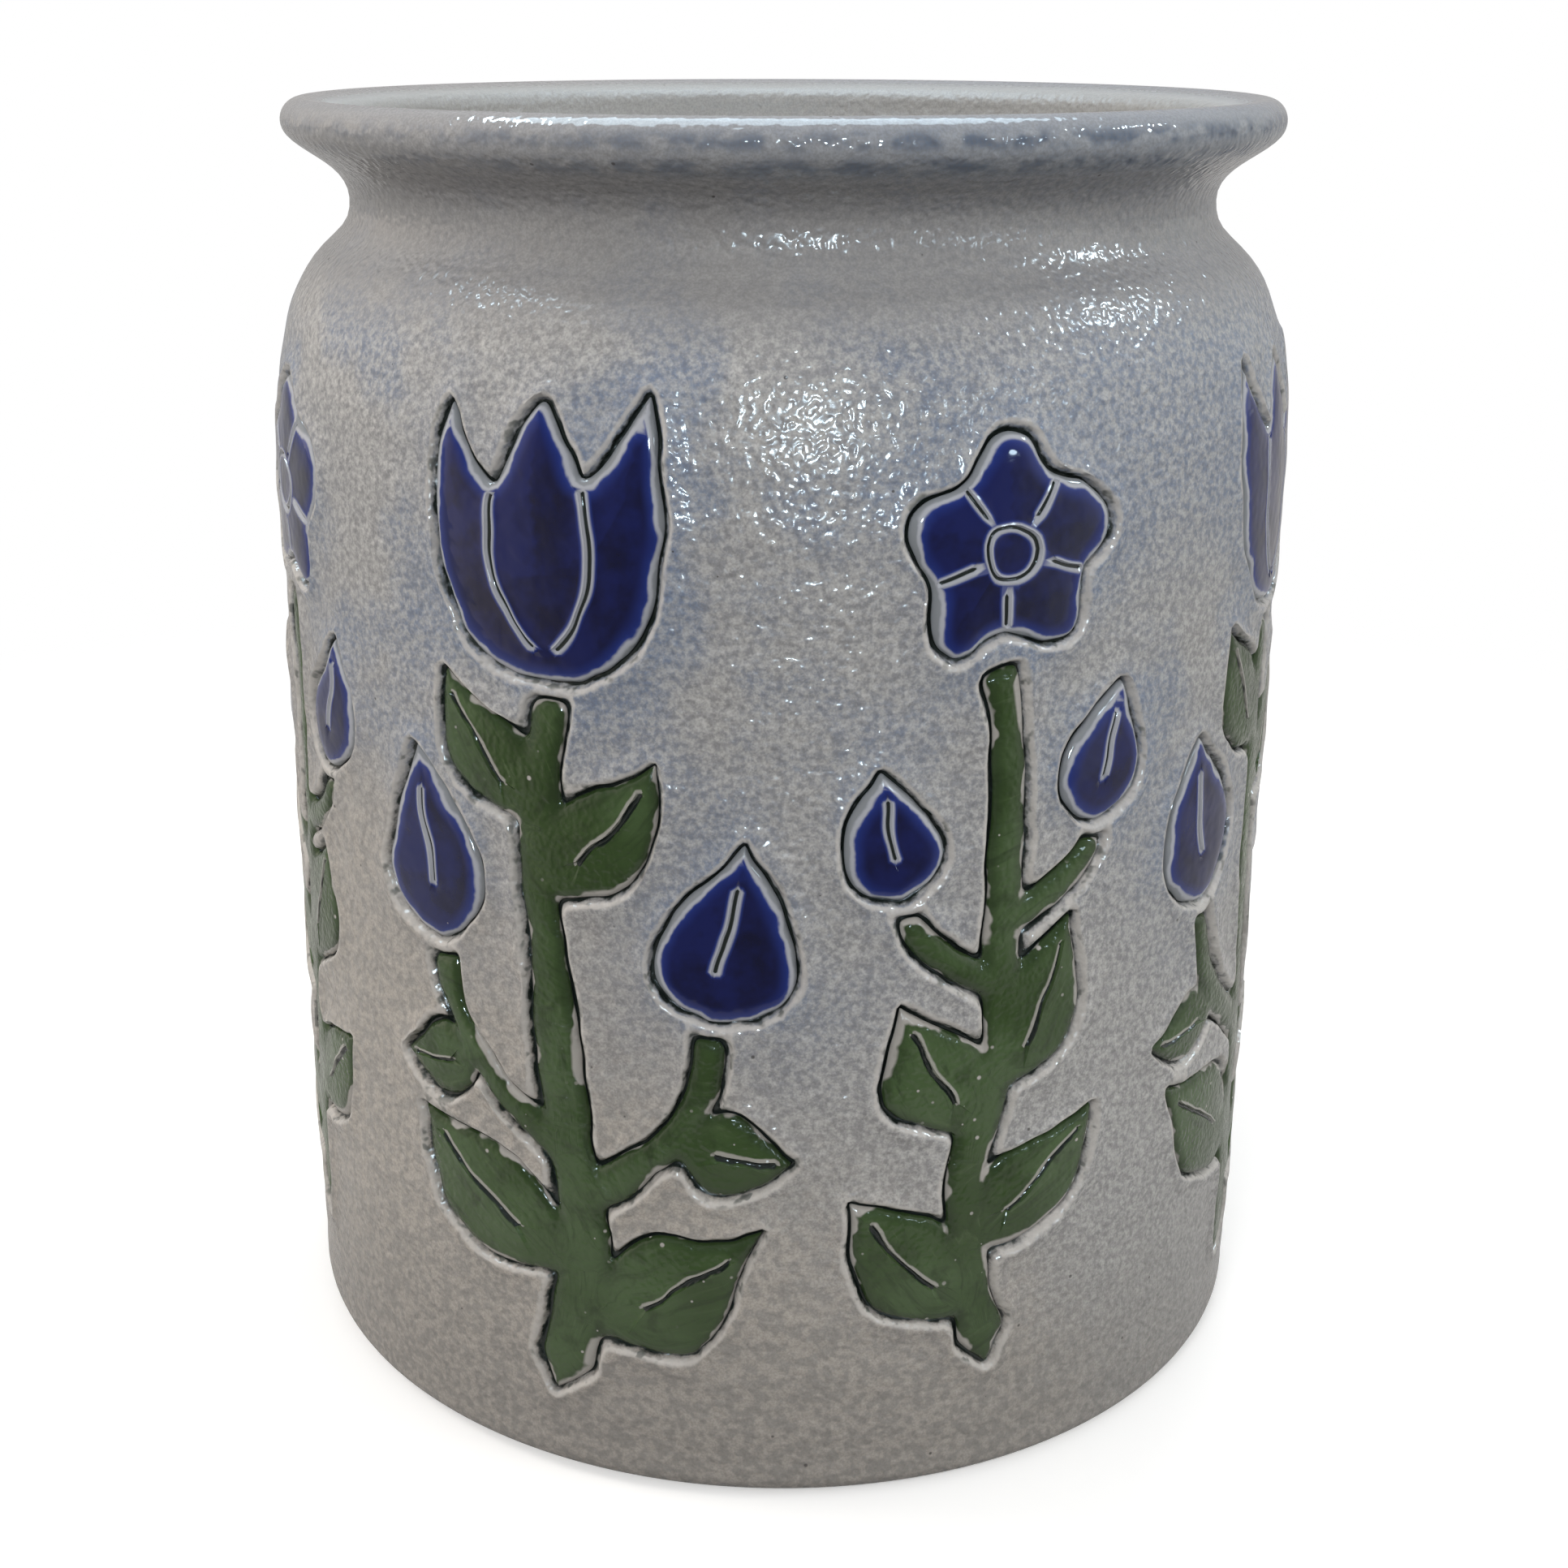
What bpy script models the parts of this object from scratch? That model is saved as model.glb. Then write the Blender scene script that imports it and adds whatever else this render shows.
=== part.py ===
"""Salt-glazed stoneware fermenting crock with coloured glaze fields and two weight stones.

Metres, +Z up. The origin is the centre of the base, on the surface that the crock stands on,
and -Y is the front. The glaze fields are drawn flat, as outlines on the unrolled wall, and are
then wrapped round the wall: across is the distance round it, and up the height above the decor's foot.
"""

import math

import bmesh
import bpy
from mathutils import Vector

# Crock, outside
HEIGHT = 0.1856
SHOULDER_RADIUS = 0.075
SHOULDER_DROP = 0.0542  # below the rim, where the wall starts to turn in
SHOULDER_FULLNESS = 0.0394  # how long the shoulder keeps the wall's direction
NECK_INSET = 0.0124  # how far the neck lies inside the shoulder
NECK_DROP = 0.0137  # below the rim, where the neck is narrowest
NECK_LOWER_EASE = 0.0094
NECK_UPPER_EASE = 0.0047
LIP_OVERHANG = 0.0089  # how far the lip stands out from the neck
LIP_ROLL = 0.0030  # radius of the rolled edge
LIP_WIDTH = 0.0102
LIP_FALL = 0.0011  # how far the lip's top slopes down to the inside
LIP_UNDERCUT = math.radians(38.5)
LIP_UNDER_EASE = 0.0033
FOOT_FLARE = 0.001  # how far the foot stands out from the shoulder
BASE_EDGE = 0.0030

# Crock, inside and underneath
WALL = 0.0063
FLOOR = 0.009
FLOOR_FILLET = 0.008
FOOT_RING = 0.010
FOOT_RECESS = 0.0015

# Weight stones, two half discs that pass the neck
WEIGHT_NECK_CLEARANCE = 0.004
WEIGHT_THICKNESS = 0.016
WEIGHT_SPLIT = 0.001  # gap between the two halves
WEIGHT_EDGE = 0.002
FINGER_HOLE_RADIUS = 0.011

# Glaze fields, drawn on a flat pattern that reaches from the decor's foot to its top
GLAZE_THICKNESS = 0.0006
SEAT_GAP = 0.0003  # between a piece and what it rests on
FIELD_GAP = 0.0022  # bare line between a flower and its stem
DECOR_FOOT = 0.012
DECOR_TOP_DROP = 0.0326
PATTERN_HEIGHT = 0.141
LEAF_CURL = 0.17  # sideways bend of a leaf's midrib, as a share of its length
STEM_TIP = 0.006  # pointed foot of a stem
BUD_HEADING = 80

# Tulip sprig; a leaf is (side, share of the stem below it, heading in degrees), a branch the first two
TULIP_HEIGHT = 0.035
TULIP_WIDTH = 0.0335
TULIP_STEM_FOOT_WIDTH = 0.0082
TULIP_STEM_TOP_WIDTH = 0.0052
TULIP_STEM_SWAY = 0.007
LOWER_LEAF_LENGTH = 0.034
LOWER_LEAF_WIDTH = 0.0175
LOWER_LEAVES = ((1, 0.06, 25), (-1, 0.14, 28))
UPPER_LEAF_LENGTH = 0.026
UPPER_LEAF_WIDTH = 0.0135
UPPER_LEAVES = ((1, 0.70, 44), (-1, 0.79, 45))
BRANCHES = ((1, 0.26), (-1, 0.33))
BRANCH_REACH = 0.0200
BRANCH_LIFT = 0.028
BRANCH_FOOT_WIDTH = 0.0060
BRANCH_TOP_WIDTH = 0.0044
BRANCH_LEAF_LENGTH = 0.0170
BRANCH_LEAF_WIDTH = 0.0115
BRANCH_LEAF_HEADING = -18
TULIP_BUD_LENGTH = 0.026
TULIP_BUD_WIDTH = 0.0180

# Blossom sprig
BLOSSOM_FOOT_LIFT = 0.006  # how much higher than the tulip sprig it starts
BLOSSOM_TOP_DROP = 0.003  # how much lower than the tulip sprig it ends
BLOSSOM_RADIUS = 0.0155
BLOSSOM_PETALS = 5
BLOSSOM_LOBE = 0.13  # share of the radius that the petals swing through
BLOSSOM_STEM_FOOT_WIDTH = 0.0066
BLOSSOM_STEM_TOP_WIDTH = 0.0048
BLOSSOM_STEM_SWAY = 0.006
BLOSSOM_LEAF_LENGTH = 0.026
BLOSSOM_LEAF_WIDTH = 0.0150
BLOSSOM_LEAVES = ((-1, 0.04, 34), (1, 0.13, 37), (-1, 0.32, 50), (1, 0.40, 52))
STALKS = ((-1, 0.56), (1, 0.64))
STALK_REACH = 0.0135
STALK_LIFT = 0.0125
STALK_FOOT_WIDTH = 0.0048
STALK_TOP_WIDTH = 0.0042
BLOSSOM_BUD_LENGTH = 0.0195
BLOSSOM_BUD_WIDTH = 0.0140

# Facets
TURN_STEPS = 60
CURVE_STEPS = 8
ARC_STEPS = 4
LEAF_STEPS = 8

# What follows from these sizes
NECK_RADIUS = SHOULDER_RADIUS - NECK_INSET
LIP_RADIUS = NECK_RADIUS + LIP_OVERHANG
FOOT_RADIUS = SHOULDER_RADIUS + FOOT_FLARE
UP = Vector((0, 1))
SIDE_NAMES = {1: "right", -1: "left"}


def clear_scene():
    for obj in list(bpy.data.objects):
        bpy.data.objects.remove(obj, do_unlink=True)


def new_collection(name):
    collection = bpy.data.collections.new(name)
    bpy.context.scene.collection.children.link(collection)
    return collection


def new_material(name, colour, roughness):
    material = bpy.data.materials.new(name)
    material.use_nodes = True
    shader = material.node_tree.nodes["Principled BSDF"]
    shader.inputs["Base Color"].default_value = (*colour, 1)
    shader.inputs["Roughness"].default_value = roughness
    shader.inputs["Metallic"].default_value = 0
    material.diffuse_color = (*colour, 1)
    return material


def bezier(start, start_handle, end_handle, end, steps=CURVE_STEPS):
    """Points of a cubic curve, both ends included."""
    points = []
    for i in range(steps + 1):
        t = i / steps
        s = 1 - t
        points.append(
            s**3 * start + 3 * s * s * t * start_handle + 3 * s * t * t * end_handle + t**3 * end
        )
    return points


def arc(centre, radius, first, last, steps=ARC_STEPS):
    """Points of a circular arc between two angles, both ends included."""
    angles = [first + (last - first) * i / steps for i in range(steps + 1)]
    return [centre + radius * Vector((math.cos(a), math.sin(a))) for a in angles]


# The crock's profile, as points of (radius, height)


def shoulder_curve(neck_radius, shoulder_radius):
    """From the neck's narrowest ring down to where the wall starts."""
    neck = Vector((neck_radius, HEIGHT - NECK_DROP))
    shoulder = Vector((shoulder_radius, HEIGHT - SHOULDER_DROP))
    return bezier(
        neck, neck - NECK_LOWER_EASE * UP, shoulder + SHOULDER_FULLNESS * UP, shoulder
    )


def outer_profile():
    """From the top of the lip down the outside to the edge of the base."""
    roll = Vector((LIP_RADIUS - LIP_ROLL, HEIGHT - LIP_ROLL))
    lip = arc(roll, LIP_ROLL, math.pi / 2, -LIP_UNDERCUT)
    under = Vector((-math.sin(LIP_UNDERCUT), -math.cos(LIP_UNDERCUT)))
    neck = Vector((NECK_RADIUS, HEIGHT - NECK_DROP))
    throat = bezier(
        lip[-1], lip[-1] + LIP_UNDER_EASE * under, neck + NECK_UPPER_EASE * UP, neck, ARC_STEPS
    )
    shoulder = shoulder_curve(NECK_RADIUS, SHOULDER_RADIUS)
    edge_centre = Vector((FOOT_RADIUS - BASE_EDGE, BASE_EDGE))
    edge = arc(edge_centre, BASE_EDGE, 0, -math.pi / 2)
    return lip + throat[1:] + shoulder[1:] + edge


def inner_profile():
    """From the centre of the floor up the inside to the top of the lip."""
    inner_wall = SHOULDER_RADIUS - WALL
    fillet_centre = Vector((inner_wall - FLOOR_FILLET, FLOOR + FLOOR_FILLET))
    fillet = arc(fillet_centre, FLOOR_FILLET, -math.pi / 2, 0)
    shoulder = shoulder_curve(NECK_RADIUS - WALL, inner_wall)[::-1]
    neck = shoulder[-1]
    roll = Vector((LIP_RADIUS - LIP_WIDTH + LIP_ROLL, HEIGHT - LIP_FALL - LIP_ROLL))
    lip = arc(roll, LIP_ROLL, math.pi, math.pi / 2)
    throat = bezier(
        neck, neck + NECK_UPPER_EASE * UP, lip[0] - LIP_UNDER_EASE * UP, lip[0], ARC_STEPS
    )
    return [Vector((0, FLOOR))] + fillet + shoulder + throat[1:] + lip[1:]


def underside_profile():
    """From the inside of the foot ring to the centre of the recess."""
    ring = FOOT_RADIUS - BASE_EDGE - FOOT_RING
    return [Vector((ring, 0)), Vector((ring - FOOT_RECESS, FOOT_RECESS)), Vector((0, FOOT_RECESS))]


def wall_radius(height):
    """Outer radius of the crock at a height between the base's edge and the neck."""
    outline = [p for p in outer_profile() if BASE_EDGE <= p.y <= HEIGHT - NECK_DROP]
    for above, below in zip(outline, outline[1:]):
        if below.y <= height <= above.y and above.y > below.y:
            share = (height - below.y) / (above.y - below.y)
            return below.x + share * (above.x - below.x)
    return outline[0].x if height > outline[0].y else outline[-1].x


def make_crock(collection, material):
    profile = inner_profile() + outer_profile() + underside_profile()
    mesh = bpy.data.meshes.new("crock_body")
    points = [(p.x, 0, p.y) for p in profile]
    mesh.from_pydata(points, [(i, i + 1) for i in range(len(points) - 1)], [])
    crock = bpy.data.objects.new("crock_body", mesh)
    collection.objects.link(crock)
    mesh.materials.append(material)
    turn = crock.modifiers.new("turn", "SCREW")
    turn.axis = "Z"
    turn.steps = TURN_STEPS
    turn.render_steps = TURN_STEPS
    turn.use_merge_vertices = True
    turn.merge_threshold = 1e-5
    turn.use_smooth_shade = True
    return crock


# Weight stones


def closed_spline(curve, outline):
    spline = curve.splines.new("POLY")
    spline.points.add(len(outline) - 1)
    for point, place in zip(spline.points, outline):
        point.co = (place.x, place.y, 0, 1)
    spline.use_cyclic_u = True


def flat_curve(name, outlines, thickness):
    """A filled flat outline of that thickness, centred on its own plane."""
    curve = bpy.data.curves.new(name, "CURVE")
    curve.dimensions = "2D"
    curve.fill_mode = "BOTH"
    curve.extrude = thickness / 2
    for outline in outlines:
        closed_spline(curve, outline)
    return bpy.data.objects.new(name, curve)


def make_weight(name, collection, material, turn):
    """One half disc, lying on the crock's floor with its straight side at the middle."""
    radius = NECK_RADIUS - WALL - WEIGHT_NECK_CLEARANCE
    middle = Vector((WEIGHT_SPLIT / 2, 0))
    half_disc = arc(middle, radius - WEIGHT_SPLIT / 2, -math.pi / 2, math.pi / 2, TURN_STEPS // 3)
    hole_centre = Vector((4 * radius / (3 * math.pi), 0))
    hole = arc(hole_centre, FINGER_HOLE_RADIUS, 0, 2 * math.pi, TURN_STEPS // 3)[:-1]
    stone = flat_curve(name, [half_disc, hole], WEIGHT_THICKNESS)
    stone.data.materials.append(material)
    stone.location.z = FLOOR + SEAT_GAP + WEIGHT_THICKNESS / 2
    stone.rotation_euler.z = turn
    collection.objects.link(stone)
    weld = stone.modifiers.new("weld", "WELD")
    weld.merge_threshold = 1e-6
    ease = stone.modifiers.new("eased_edge", "BEVEL")
    ease.width = WEIGHT_EDGE
    ease.segments = 2
    ease.limit_method = "ANGLE"
    return stone


# Outlines of the glaze fields, flat, as points of (across, up)


def heading(angle):
    return Vector((math.cos(angle), math.sin(angle)))


def leaf(base, angle, length, width, curl=LEAF_CURL, skew=0.9, taper=1.25):
    """A leaf on a midrib that bends sideways; its width is a power of a sine, fullest where skew puts it."""
    along = heading(angle)
    side = Vector((-along.y, along.x))
    left, right = [], []
    for i in range(LEAF_STEPS + 1):
        t = i / LEAF_STEPS
        midrib = base + length * (t * along + curl * t * t * side)
        slope = (along + 2 * curl * t * side).normalized()
        full = max(0, math.sin(math.pi * t**skew)) ** taper
        half = 0.5 * width * full * Vector((-slope.y, slope.x))
        left.append(midrib + half)
        right.append(midrib - half)
    return right[:-1] + left[:0:-1]


def bud(base, length, width):
    """A pointed bud, fullest near its base."""
    return leaf(base, math.radians(BUD_HEADING), length, width, curl=0, skew=0.66, taper=1)


def ribbon(centreline, foot_width, top_width, tip=0):
    """A stem of tapering width along a line of points, with a pointed foot where it has a tip."""
    left, right = [], []
    last = len(centreline) - 1
    for i, point in enumerate(centreline):
        ahead = centreline[min(i + 1, last)] - centreline[max(i - 1, 0)]
        side = Vector((-ahead.y, ahead.x)).normalized()
        half = 0.5 * (foot_width + (top_width - foot_width) * i / last) * side
        left.append(point + half)
        right.append(point - half)
    point = [centreline[0] + tip * (centreline[0] - centreline[1]).normalized()] if tip else []
    return point + right + left[::-1]


def mirrored(outline):
    """The same outline on the other side of the sprig, still counter-clockwise."""
    return [Vector((-p.x, p.y)) for p in reversed(outline)]


def upright_line(foot, top, sway):
    """A stem's line that leans one way, then the other."""
    third = (top - foot) / 3
    return bezier(
        Vector((0, foot)), Vector((sway, foot + third)), Vector((-sway, top - third)), Vector((0, top))
    )


def side_line(start, reach, lift):
    """A branch's line, out from the stem and then up."""
    end = start + Vector((reach, lift))
    return bezier(start, start + Vector((0.5 * reach, 0.25 * lift)), end - Vector((0, 0.5 * lift)), end)


def tulip_outline(base):
    """A cup with two outer petal tips, and a middle petal between two notches."""
    def at(x, y):
        return base + Vector((x * TULIP_WIDTH, y * TULIP_HEIGHT))

    side = bezier(at(0, 0), at(0.42, 0), at(0.60, 0.50), at(0.42, 1.0))
    notch = bezier(at(0.42, 1.0), at(0.32, 0.84), at(0.24, 0.74), at(0.18, 0.70), 3)
    middle = bezier(at(0.18, 0.70), at(0.13, 0.84), at(0.06, 0.95), at(0, 1.0), 3)
    right = side + notch[1:] + middle[1:]
    other_side = [Vector((2 * base.x - p.x, p.y)) for p in reversed(right[1:-1])]
    return right + other_side


def blossom_outline(centre):
    """A rosette: a circle whose radius swings once for each petal."""
    steps = BLOSSOM_PETALS * ARC_STEPS * 2
    outline = []
    for i in range(steps):
        angle = 2 * math.pi * i / steps
        swing = 1 - BLOSSOM_LOBE + BLOSSOM_LOBE * math.cos(BLOSSOM_PETALS * (angle - math.pi / 2))
        outline.append(centre + BLOSSOM_RADIUS * swing * heading(angle))
    return outline


def on_side(side, outline):
    """The outline as drawn for the right-hand side, or mirrored for the left."""
    return outline if side > 0 else mirrored(outline)


def point_at(stem, share):
    """The point of a stem's line at a share of its height."""
    height = stem[0].y + share * (stem[-1].y - stem[0].y)
    for below, above in zip(stem, stem[1:]):
        if height <= above.y:
            return below.lerp(above, (height - below.y) / (above.y - below.y))
    return stem[-1]


def fork(stem, side, share):
    """Where a side shoot leaves the stem, as drawn for the right-hand side."""
    point = point_at(stem, share)
    return Vector((side * point.x, point.y))


def leaves_on(stem, places, length, width):
    """Leaves that grow out of a stem, each on its own side and height."""
    outlines = []
    for side, share, angle in places:
        outline = leaf(fork(stem, side, share), math.radians(angle), length, width)
        outlines.append(on_side(side, outline))
    return outlines


def tulip_sprig():
    """The green outlines and the {name: blue outline} of a tulip with two buds and six leaves."""
    cup = Vector((0, PATTERN_HEIGHT - TULIP_HEIGHT))
    stem = upright_line(STEM_TIP, cup.y, TULIP_STEM_SWAY)
    green = [ribbon(stem, TULIP_STEM_FOOT_WIDTH, TULIP_STEM_TOP_WIDTH, STEM_TIP)]
    green += leaves_on(stem, LOWER_LEAVES, LOWER_LEAF_LENGTH, LOWER_LEAF_WIDTH)
    green += leaves_on(stem, UPPER_LEAVES, UPPER_LEAF_LENGTH, UPPER_LEAF_WIDTH)
    blue = {"tulip_glaze": tulip_outline(cup)}
    for side, share in BRANCHES:
        line = side_line(fork(stem, side, share), BRANCH_REACH, BRANCH_LIFT)
        middle = line[len(line) // 2]
        turned = math.radians(BRANCH_LEAF_HEADING)
        green.append(on_side(side, ribbon(line, BRANCH_FOOT_WIDTH, BRANCH_TOP_WIDTH)))
        green.append(on_side(side, leaf(middle, turned, BRANCH_LEAF_LENGTH, BRANCH_LEAF_WIDTH)))
        outline = bud(line[-1], TULIP_BUD_LENGTH, TULIP_BUD_WIDTH)
        blue[f"tulip_bud_{SIDE_NAMES[side]}_glaze"] = on_side(side, outline)
    return green, blue


def blossom_sprig():
    """The green outlines and the {name: blue outline} of a blossom with two buds and four leaves."""
    centre = Vector((0, PATTERN_HEIGHT - BLOSSOM_TOP_DROP - BLOSSOM_RADIUS))
    stem = upright_line(BLOSSOM_FOOT_LIFT + STEM_TIP, centre.y - BLOSSOM_RADIUS, -BLOSSOM_STEM_SWAY)
    green = [ribbon(stem, BLOSSOM_STEM_FOOT_WIDTH, BLOSSOM_STEM_TOP_WIDTH, STEM_TIP)]
    green += leaves_on(stem, BLOSSOM_LEAVES, BLOSSOM_LEAF_LENGTH, BLOSSOM_LEAF_WIDTH)
    blue = {"blossom_glaze": blossom_outline(centre)}
    for side, share in STALKS:
        line = side_line(fork(stem, side, share), STALK_REACH, STALK_LIFT)
        green.append(on_side(side, ribbon(line, STALK_FOOT_WIDTH, STALK_TOP_WIDTH)))
        outline = bud(line[-1], BLOSSOM_BUD_LENGTH, BLOSSOM_BUD_WIDTH)
        blue[f"blossom_bud_{SIDE_NAMES[side]}_glaze"] = on_side(side, outline)
    return green, blue


def half_width(sprig):
    """How far a sprig reaches to either side of its middle."""
    green, blue = sprig
    return max(abs(p.x) for outline in green + list(blue.values()) for p in outline)


def grown(outline, margin):
    """The outline moved outwards by a margin."""
    points = []
    for before, point, after in zip(outline[-1:] + outline[:-1], outline, outline[1:] + outline[:1]):
        along = (point - before).normalized() + (after - point).normalized()
        points.append(point + margin * Vector((along.y, -along.x)).normalized())
    return points


# Glaze fields as solids


def evaluated_mesh(obj):
    bpy.context.view_layer.update()
    return bpy.data.meshes.new_from_object(obj.evaluated_get(bpy.context.evaluated_depsgraph_get()))


def flat_solid(name, outline, thickness):
    """A mesh object of one outline, with its caps welded to its sides."""
    curve = flat_curve(name, [outline], thickness)
    bpy.context.scene.collection.objects.link(curve)
    mesh = evaluated_mesh(curve)
    bpy.data.objects.remove(curve)
    shape = bmesh.new()
    shape.from_mesh(mesh)
    bmesh.ops.remove_doubles(shape, verts=shape.verts, dist=1e-6)
    bmesh.ops.recalc_face_normals(shape, faces=shape.faces)
    shape.to_mesh(mesh)
    shape.free()
    solid = bpy.data.objects.new(name, mesh)
    bpy.context.scene.collection.objects.link(solid)
    return solid


def joined_mesh(name, outlines, cuts=()):
    """One flat mesh of all the outlines, joined where they overlap, less the cuts."""
    solids = [flat_solid(f"{name}_{i}", outline, GLAZE_THICKNESS) for i, outline in enumerate(outlines)]
    cutters = [flat_solid(f"{name}_cut_{i}", cut, 2 * GLAZE_THICKNESS) for i, cut in enumerate(cuts)]
    for other in solids[1:] + cutters:
        change = solids[0].modifiers.new("change", "BOOLEAN")
        change.operation = "DIFFERENCE" if other in cutters else "UNION"
        change.object = other
    mesh = evaluated_mesh(solids[0])
    mesh.name = name
    for solid in solids + cutters:
        bpy.data.objects.remove(solid)
    return mesh


def cut_at_bends(shape, heights):
    """Cuts a flat mesh at every facet of the wall and at the given heights."""
    facet = 2 * math.pi / TURN_STEPS * SHOULDER_RADIUS
    reach = math.ceil(max(abs(v.co.x) for v in shape.verts) / facet)
    cuts = [(Vector((i * facet, 0, 0)), Vector((1, 0, 0))) for i in range(-reach, reach + 1)]
    cuts += [(Vector((0, height, 0)), Vector((0, 1, 0))) for height in heights]
    for place, across in cuts:
        everything = shape.verts[:] + shape.edges[:] + shape.faces[:]
        bmesh.ops.bisect_plane(shape, geom=everything, dist=1e-6, plane_co=place, plane_no=across)


def wrap_on_wall(mesh):
    """Stretches a flat mesh to the decor's height, and bends it round the wall, just clear of it."""
    stretch = (HEIGHT - DECOR_TOP_DROP - DECOR_FOOT) / PATTERN_HEIGHT
    bends = [p.y for p in shoulder_curve(NECK_RADIUS, SHOULDER_RADIUS)]
    shape = bmesh.new()
    shape.from_mesh(mesh)
    bmesh.ops.dissolve_limit(shape, angle_limit=math.radians(1), verts=shape.verts, edges=shape.edges)
    for vert in shape.verts:
        vert.co.y = DECOR_FOOT + stretch * vert.co.y
    cut_at_bends(shape, bends)
    bmesh.ops.triangulate(shape, faces=shape.faces)
    for vert in shape.verts:
        angle = vert.co.x / SHOULDER_RADIUS
        radius = wall_radius(vert.co.y) + SEAT_GAP + GLAZE_THICKNESS / 2 + vert.co.z
        vert.co = (radius * math.sin(angle), -radius * math.cos(angle), vert.co.y)
    shape.to_mesh(mesh)
    shape.free()
    mesh.shade_smooth()
    mesh.set_sharp_from_angle(angle=math.radians(40))


def make_field(collection, name, mesh, material, turns):
    """One field, repeated round the wall as objects that share a mesh."""
    wrap_on_wall(mesh)
    mesh.materials.clear()
    mesh.materials.append(material)
    for i, turn in enumerate(turns):
        field = bpy.data.objects.new(f"{name}_{i + 1}", mesh)
        field.rotation_euler.z = turn
        collection.objects.link(field)


def make_sprig(collection, name, sprig, turns, materials):
    """The green field of a sprig, kept clear of its flowers, and a blue field for each flower."""
    green, blue = sprig
    clear = [grown(outline, FIELD_GAP) for outline in blue.values()]
    make_field(collection, name, joined_mesh(name, green, clear), materials["green"], turns)
    for flower, outline in blue.items():
        make_field(collection, flower, joined_mesh(flower, [outline]), materials["blue"], turns)


def main():
    clear_scene()
    parts = new_collection("stoneware_fermenting_crock")
    materials = {
        "stoneware": new_material("salt_glazed_stoneware", (0.36, 0.35, 0.35), 0.25),
        "weight": new_material("bare_stoneware", (0.52, 0.48, 0.42), 0.6),
        "green": new_material("green_glaze", (0.055, 0.10, 0.04), 0.2),
        "blue": new_material("cobalt_glaze", (0.012, 0.014, 0.13), 0.12),
    }
    make_crock(parts, materials["stoneware"])
    make_weight("weight_stone_right", parts, materials["weight"], 0)
    make_weight("weight_stone_left", parts, materials["weight"], math.pi)
    tulip, blossom = tulip_sprig(), blossom_sprig()
    room = 2 * (half_width(tulip) + half_width(blossom) + FIELD_GAP)
    pairs = math.floor(2 * math.pi * SHOULDER_RADIUS / room)
    turns = [2 * math.pi * (i - 0.25) / pairs for i in range(pairs)]
    make_sprig(parts, "tulip_sprig_glaze", tulip, turns, materials)
    make_sprig(parts, "blossom_sprig_glaze", blossom, [t + math.pi / pairs for t in turns], materials)


if __name__ == "__main__":
    main()
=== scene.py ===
"""Looks of a salt-glazed stoneware fermenting crock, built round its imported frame.

Shapes are in millimetres until they go into meshes. The decor is drawn flat: across is the distance round
the wall from the front towards +X, at the shoulder's radius, and up the height above the base. A field is
a patch of coloured glaze in an incised outline. A point's depth is its distance to the nearest outline,
negative inside a field.
"""

import math

import bmesh
import bpy
import numpy as np
from mathutils import Matrix, Vector
from mathutils.geometry import delaunay_2d_cdt


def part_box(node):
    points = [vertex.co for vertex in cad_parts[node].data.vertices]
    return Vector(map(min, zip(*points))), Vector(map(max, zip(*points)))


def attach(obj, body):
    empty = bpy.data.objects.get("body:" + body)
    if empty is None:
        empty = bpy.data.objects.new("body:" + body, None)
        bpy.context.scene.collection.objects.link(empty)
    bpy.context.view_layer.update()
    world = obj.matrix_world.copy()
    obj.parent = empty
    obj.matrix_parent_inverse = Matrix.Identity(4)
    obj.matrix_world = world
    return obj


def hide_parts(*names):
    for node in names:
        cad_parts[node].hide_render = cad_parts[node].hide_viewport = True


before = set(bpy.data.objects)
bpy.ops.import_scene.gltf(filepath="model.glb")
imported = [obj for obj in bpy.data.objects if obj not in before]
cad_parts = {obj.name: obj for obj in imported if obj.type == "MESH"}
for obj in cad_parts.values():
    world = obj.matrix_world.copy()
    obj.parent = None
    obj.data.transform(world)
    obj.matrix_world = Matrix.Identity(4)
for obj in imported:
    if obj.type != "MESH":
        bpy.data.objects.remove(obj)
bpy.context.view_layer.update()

MM = 0.001
UP = np.array([0.0, 1.0])
# The upper left of the flat decor. A point's facing is how far the slope of its depth points this way: the
# salt and cobalt glazes paint light and shade along the outlines by it, and the green sets its bare rim's
# width by it
UPPER_LEFT = np.array([-0.7, 0.7])

# Crock, outside and inside, as in the frame
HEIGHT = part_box("crock_body")[1].z / MM
FOOT_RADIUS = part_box("crock_body")[1].x / MM
FOOT_FLARE = 1.0
SHOULDER_RADIUS = FOOT_RADIUS - FOOT_FLARE
SHOULDER_DROP = 54.2
SHOULDER_FULLNESS = 39.4
NECK_RADIUS = SHOULDER_RADIUS - 12.4
NECK_DROP = 13.7
NECK_LOWER_EASE = 9.4
NECK_UPPER_EASE = 4.7
LIP_RADIUS = NECK_RADIUS + 8.9
LIP_ROLL = 3.0
LIP_WIDTH = 10.2
LIP_FALL = 1.1
LIP_UNDERCUT = math.radians(38.5)
LIP_UNDER_EASE = 3.3
BASE_EDGE = 3.0
WALL = 6.3
FLOOR = 9.0
FLOOR_FILLET = 8.0
FOOT_RING = 10.0
FOOT_RECESS = 1.5

# Weight stones, two half discs
WEIGHT_LOW, WEIGHT_HIGH = (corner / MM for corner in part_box("weight_stone_right"))
WEIGHT_EDGE = 2.2
FINGER_HOLE_RADIUS = 11.0
FINGER_HOLE_EASE = 2.6

# Decor, drawn flat and repeated round the wall
PAIRS = 4
PITCH = 2 * math.pi * SHOULDER_RADIUS / PAIRS
DECOR_FOOT = 12.0
PATTERN_HEIGHT = 141.0
FIELD_GAP = 2.2
LEAF_CURL = 0.17
STEM_TIP = 6.0
BUD_HEADING = 80

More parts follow.
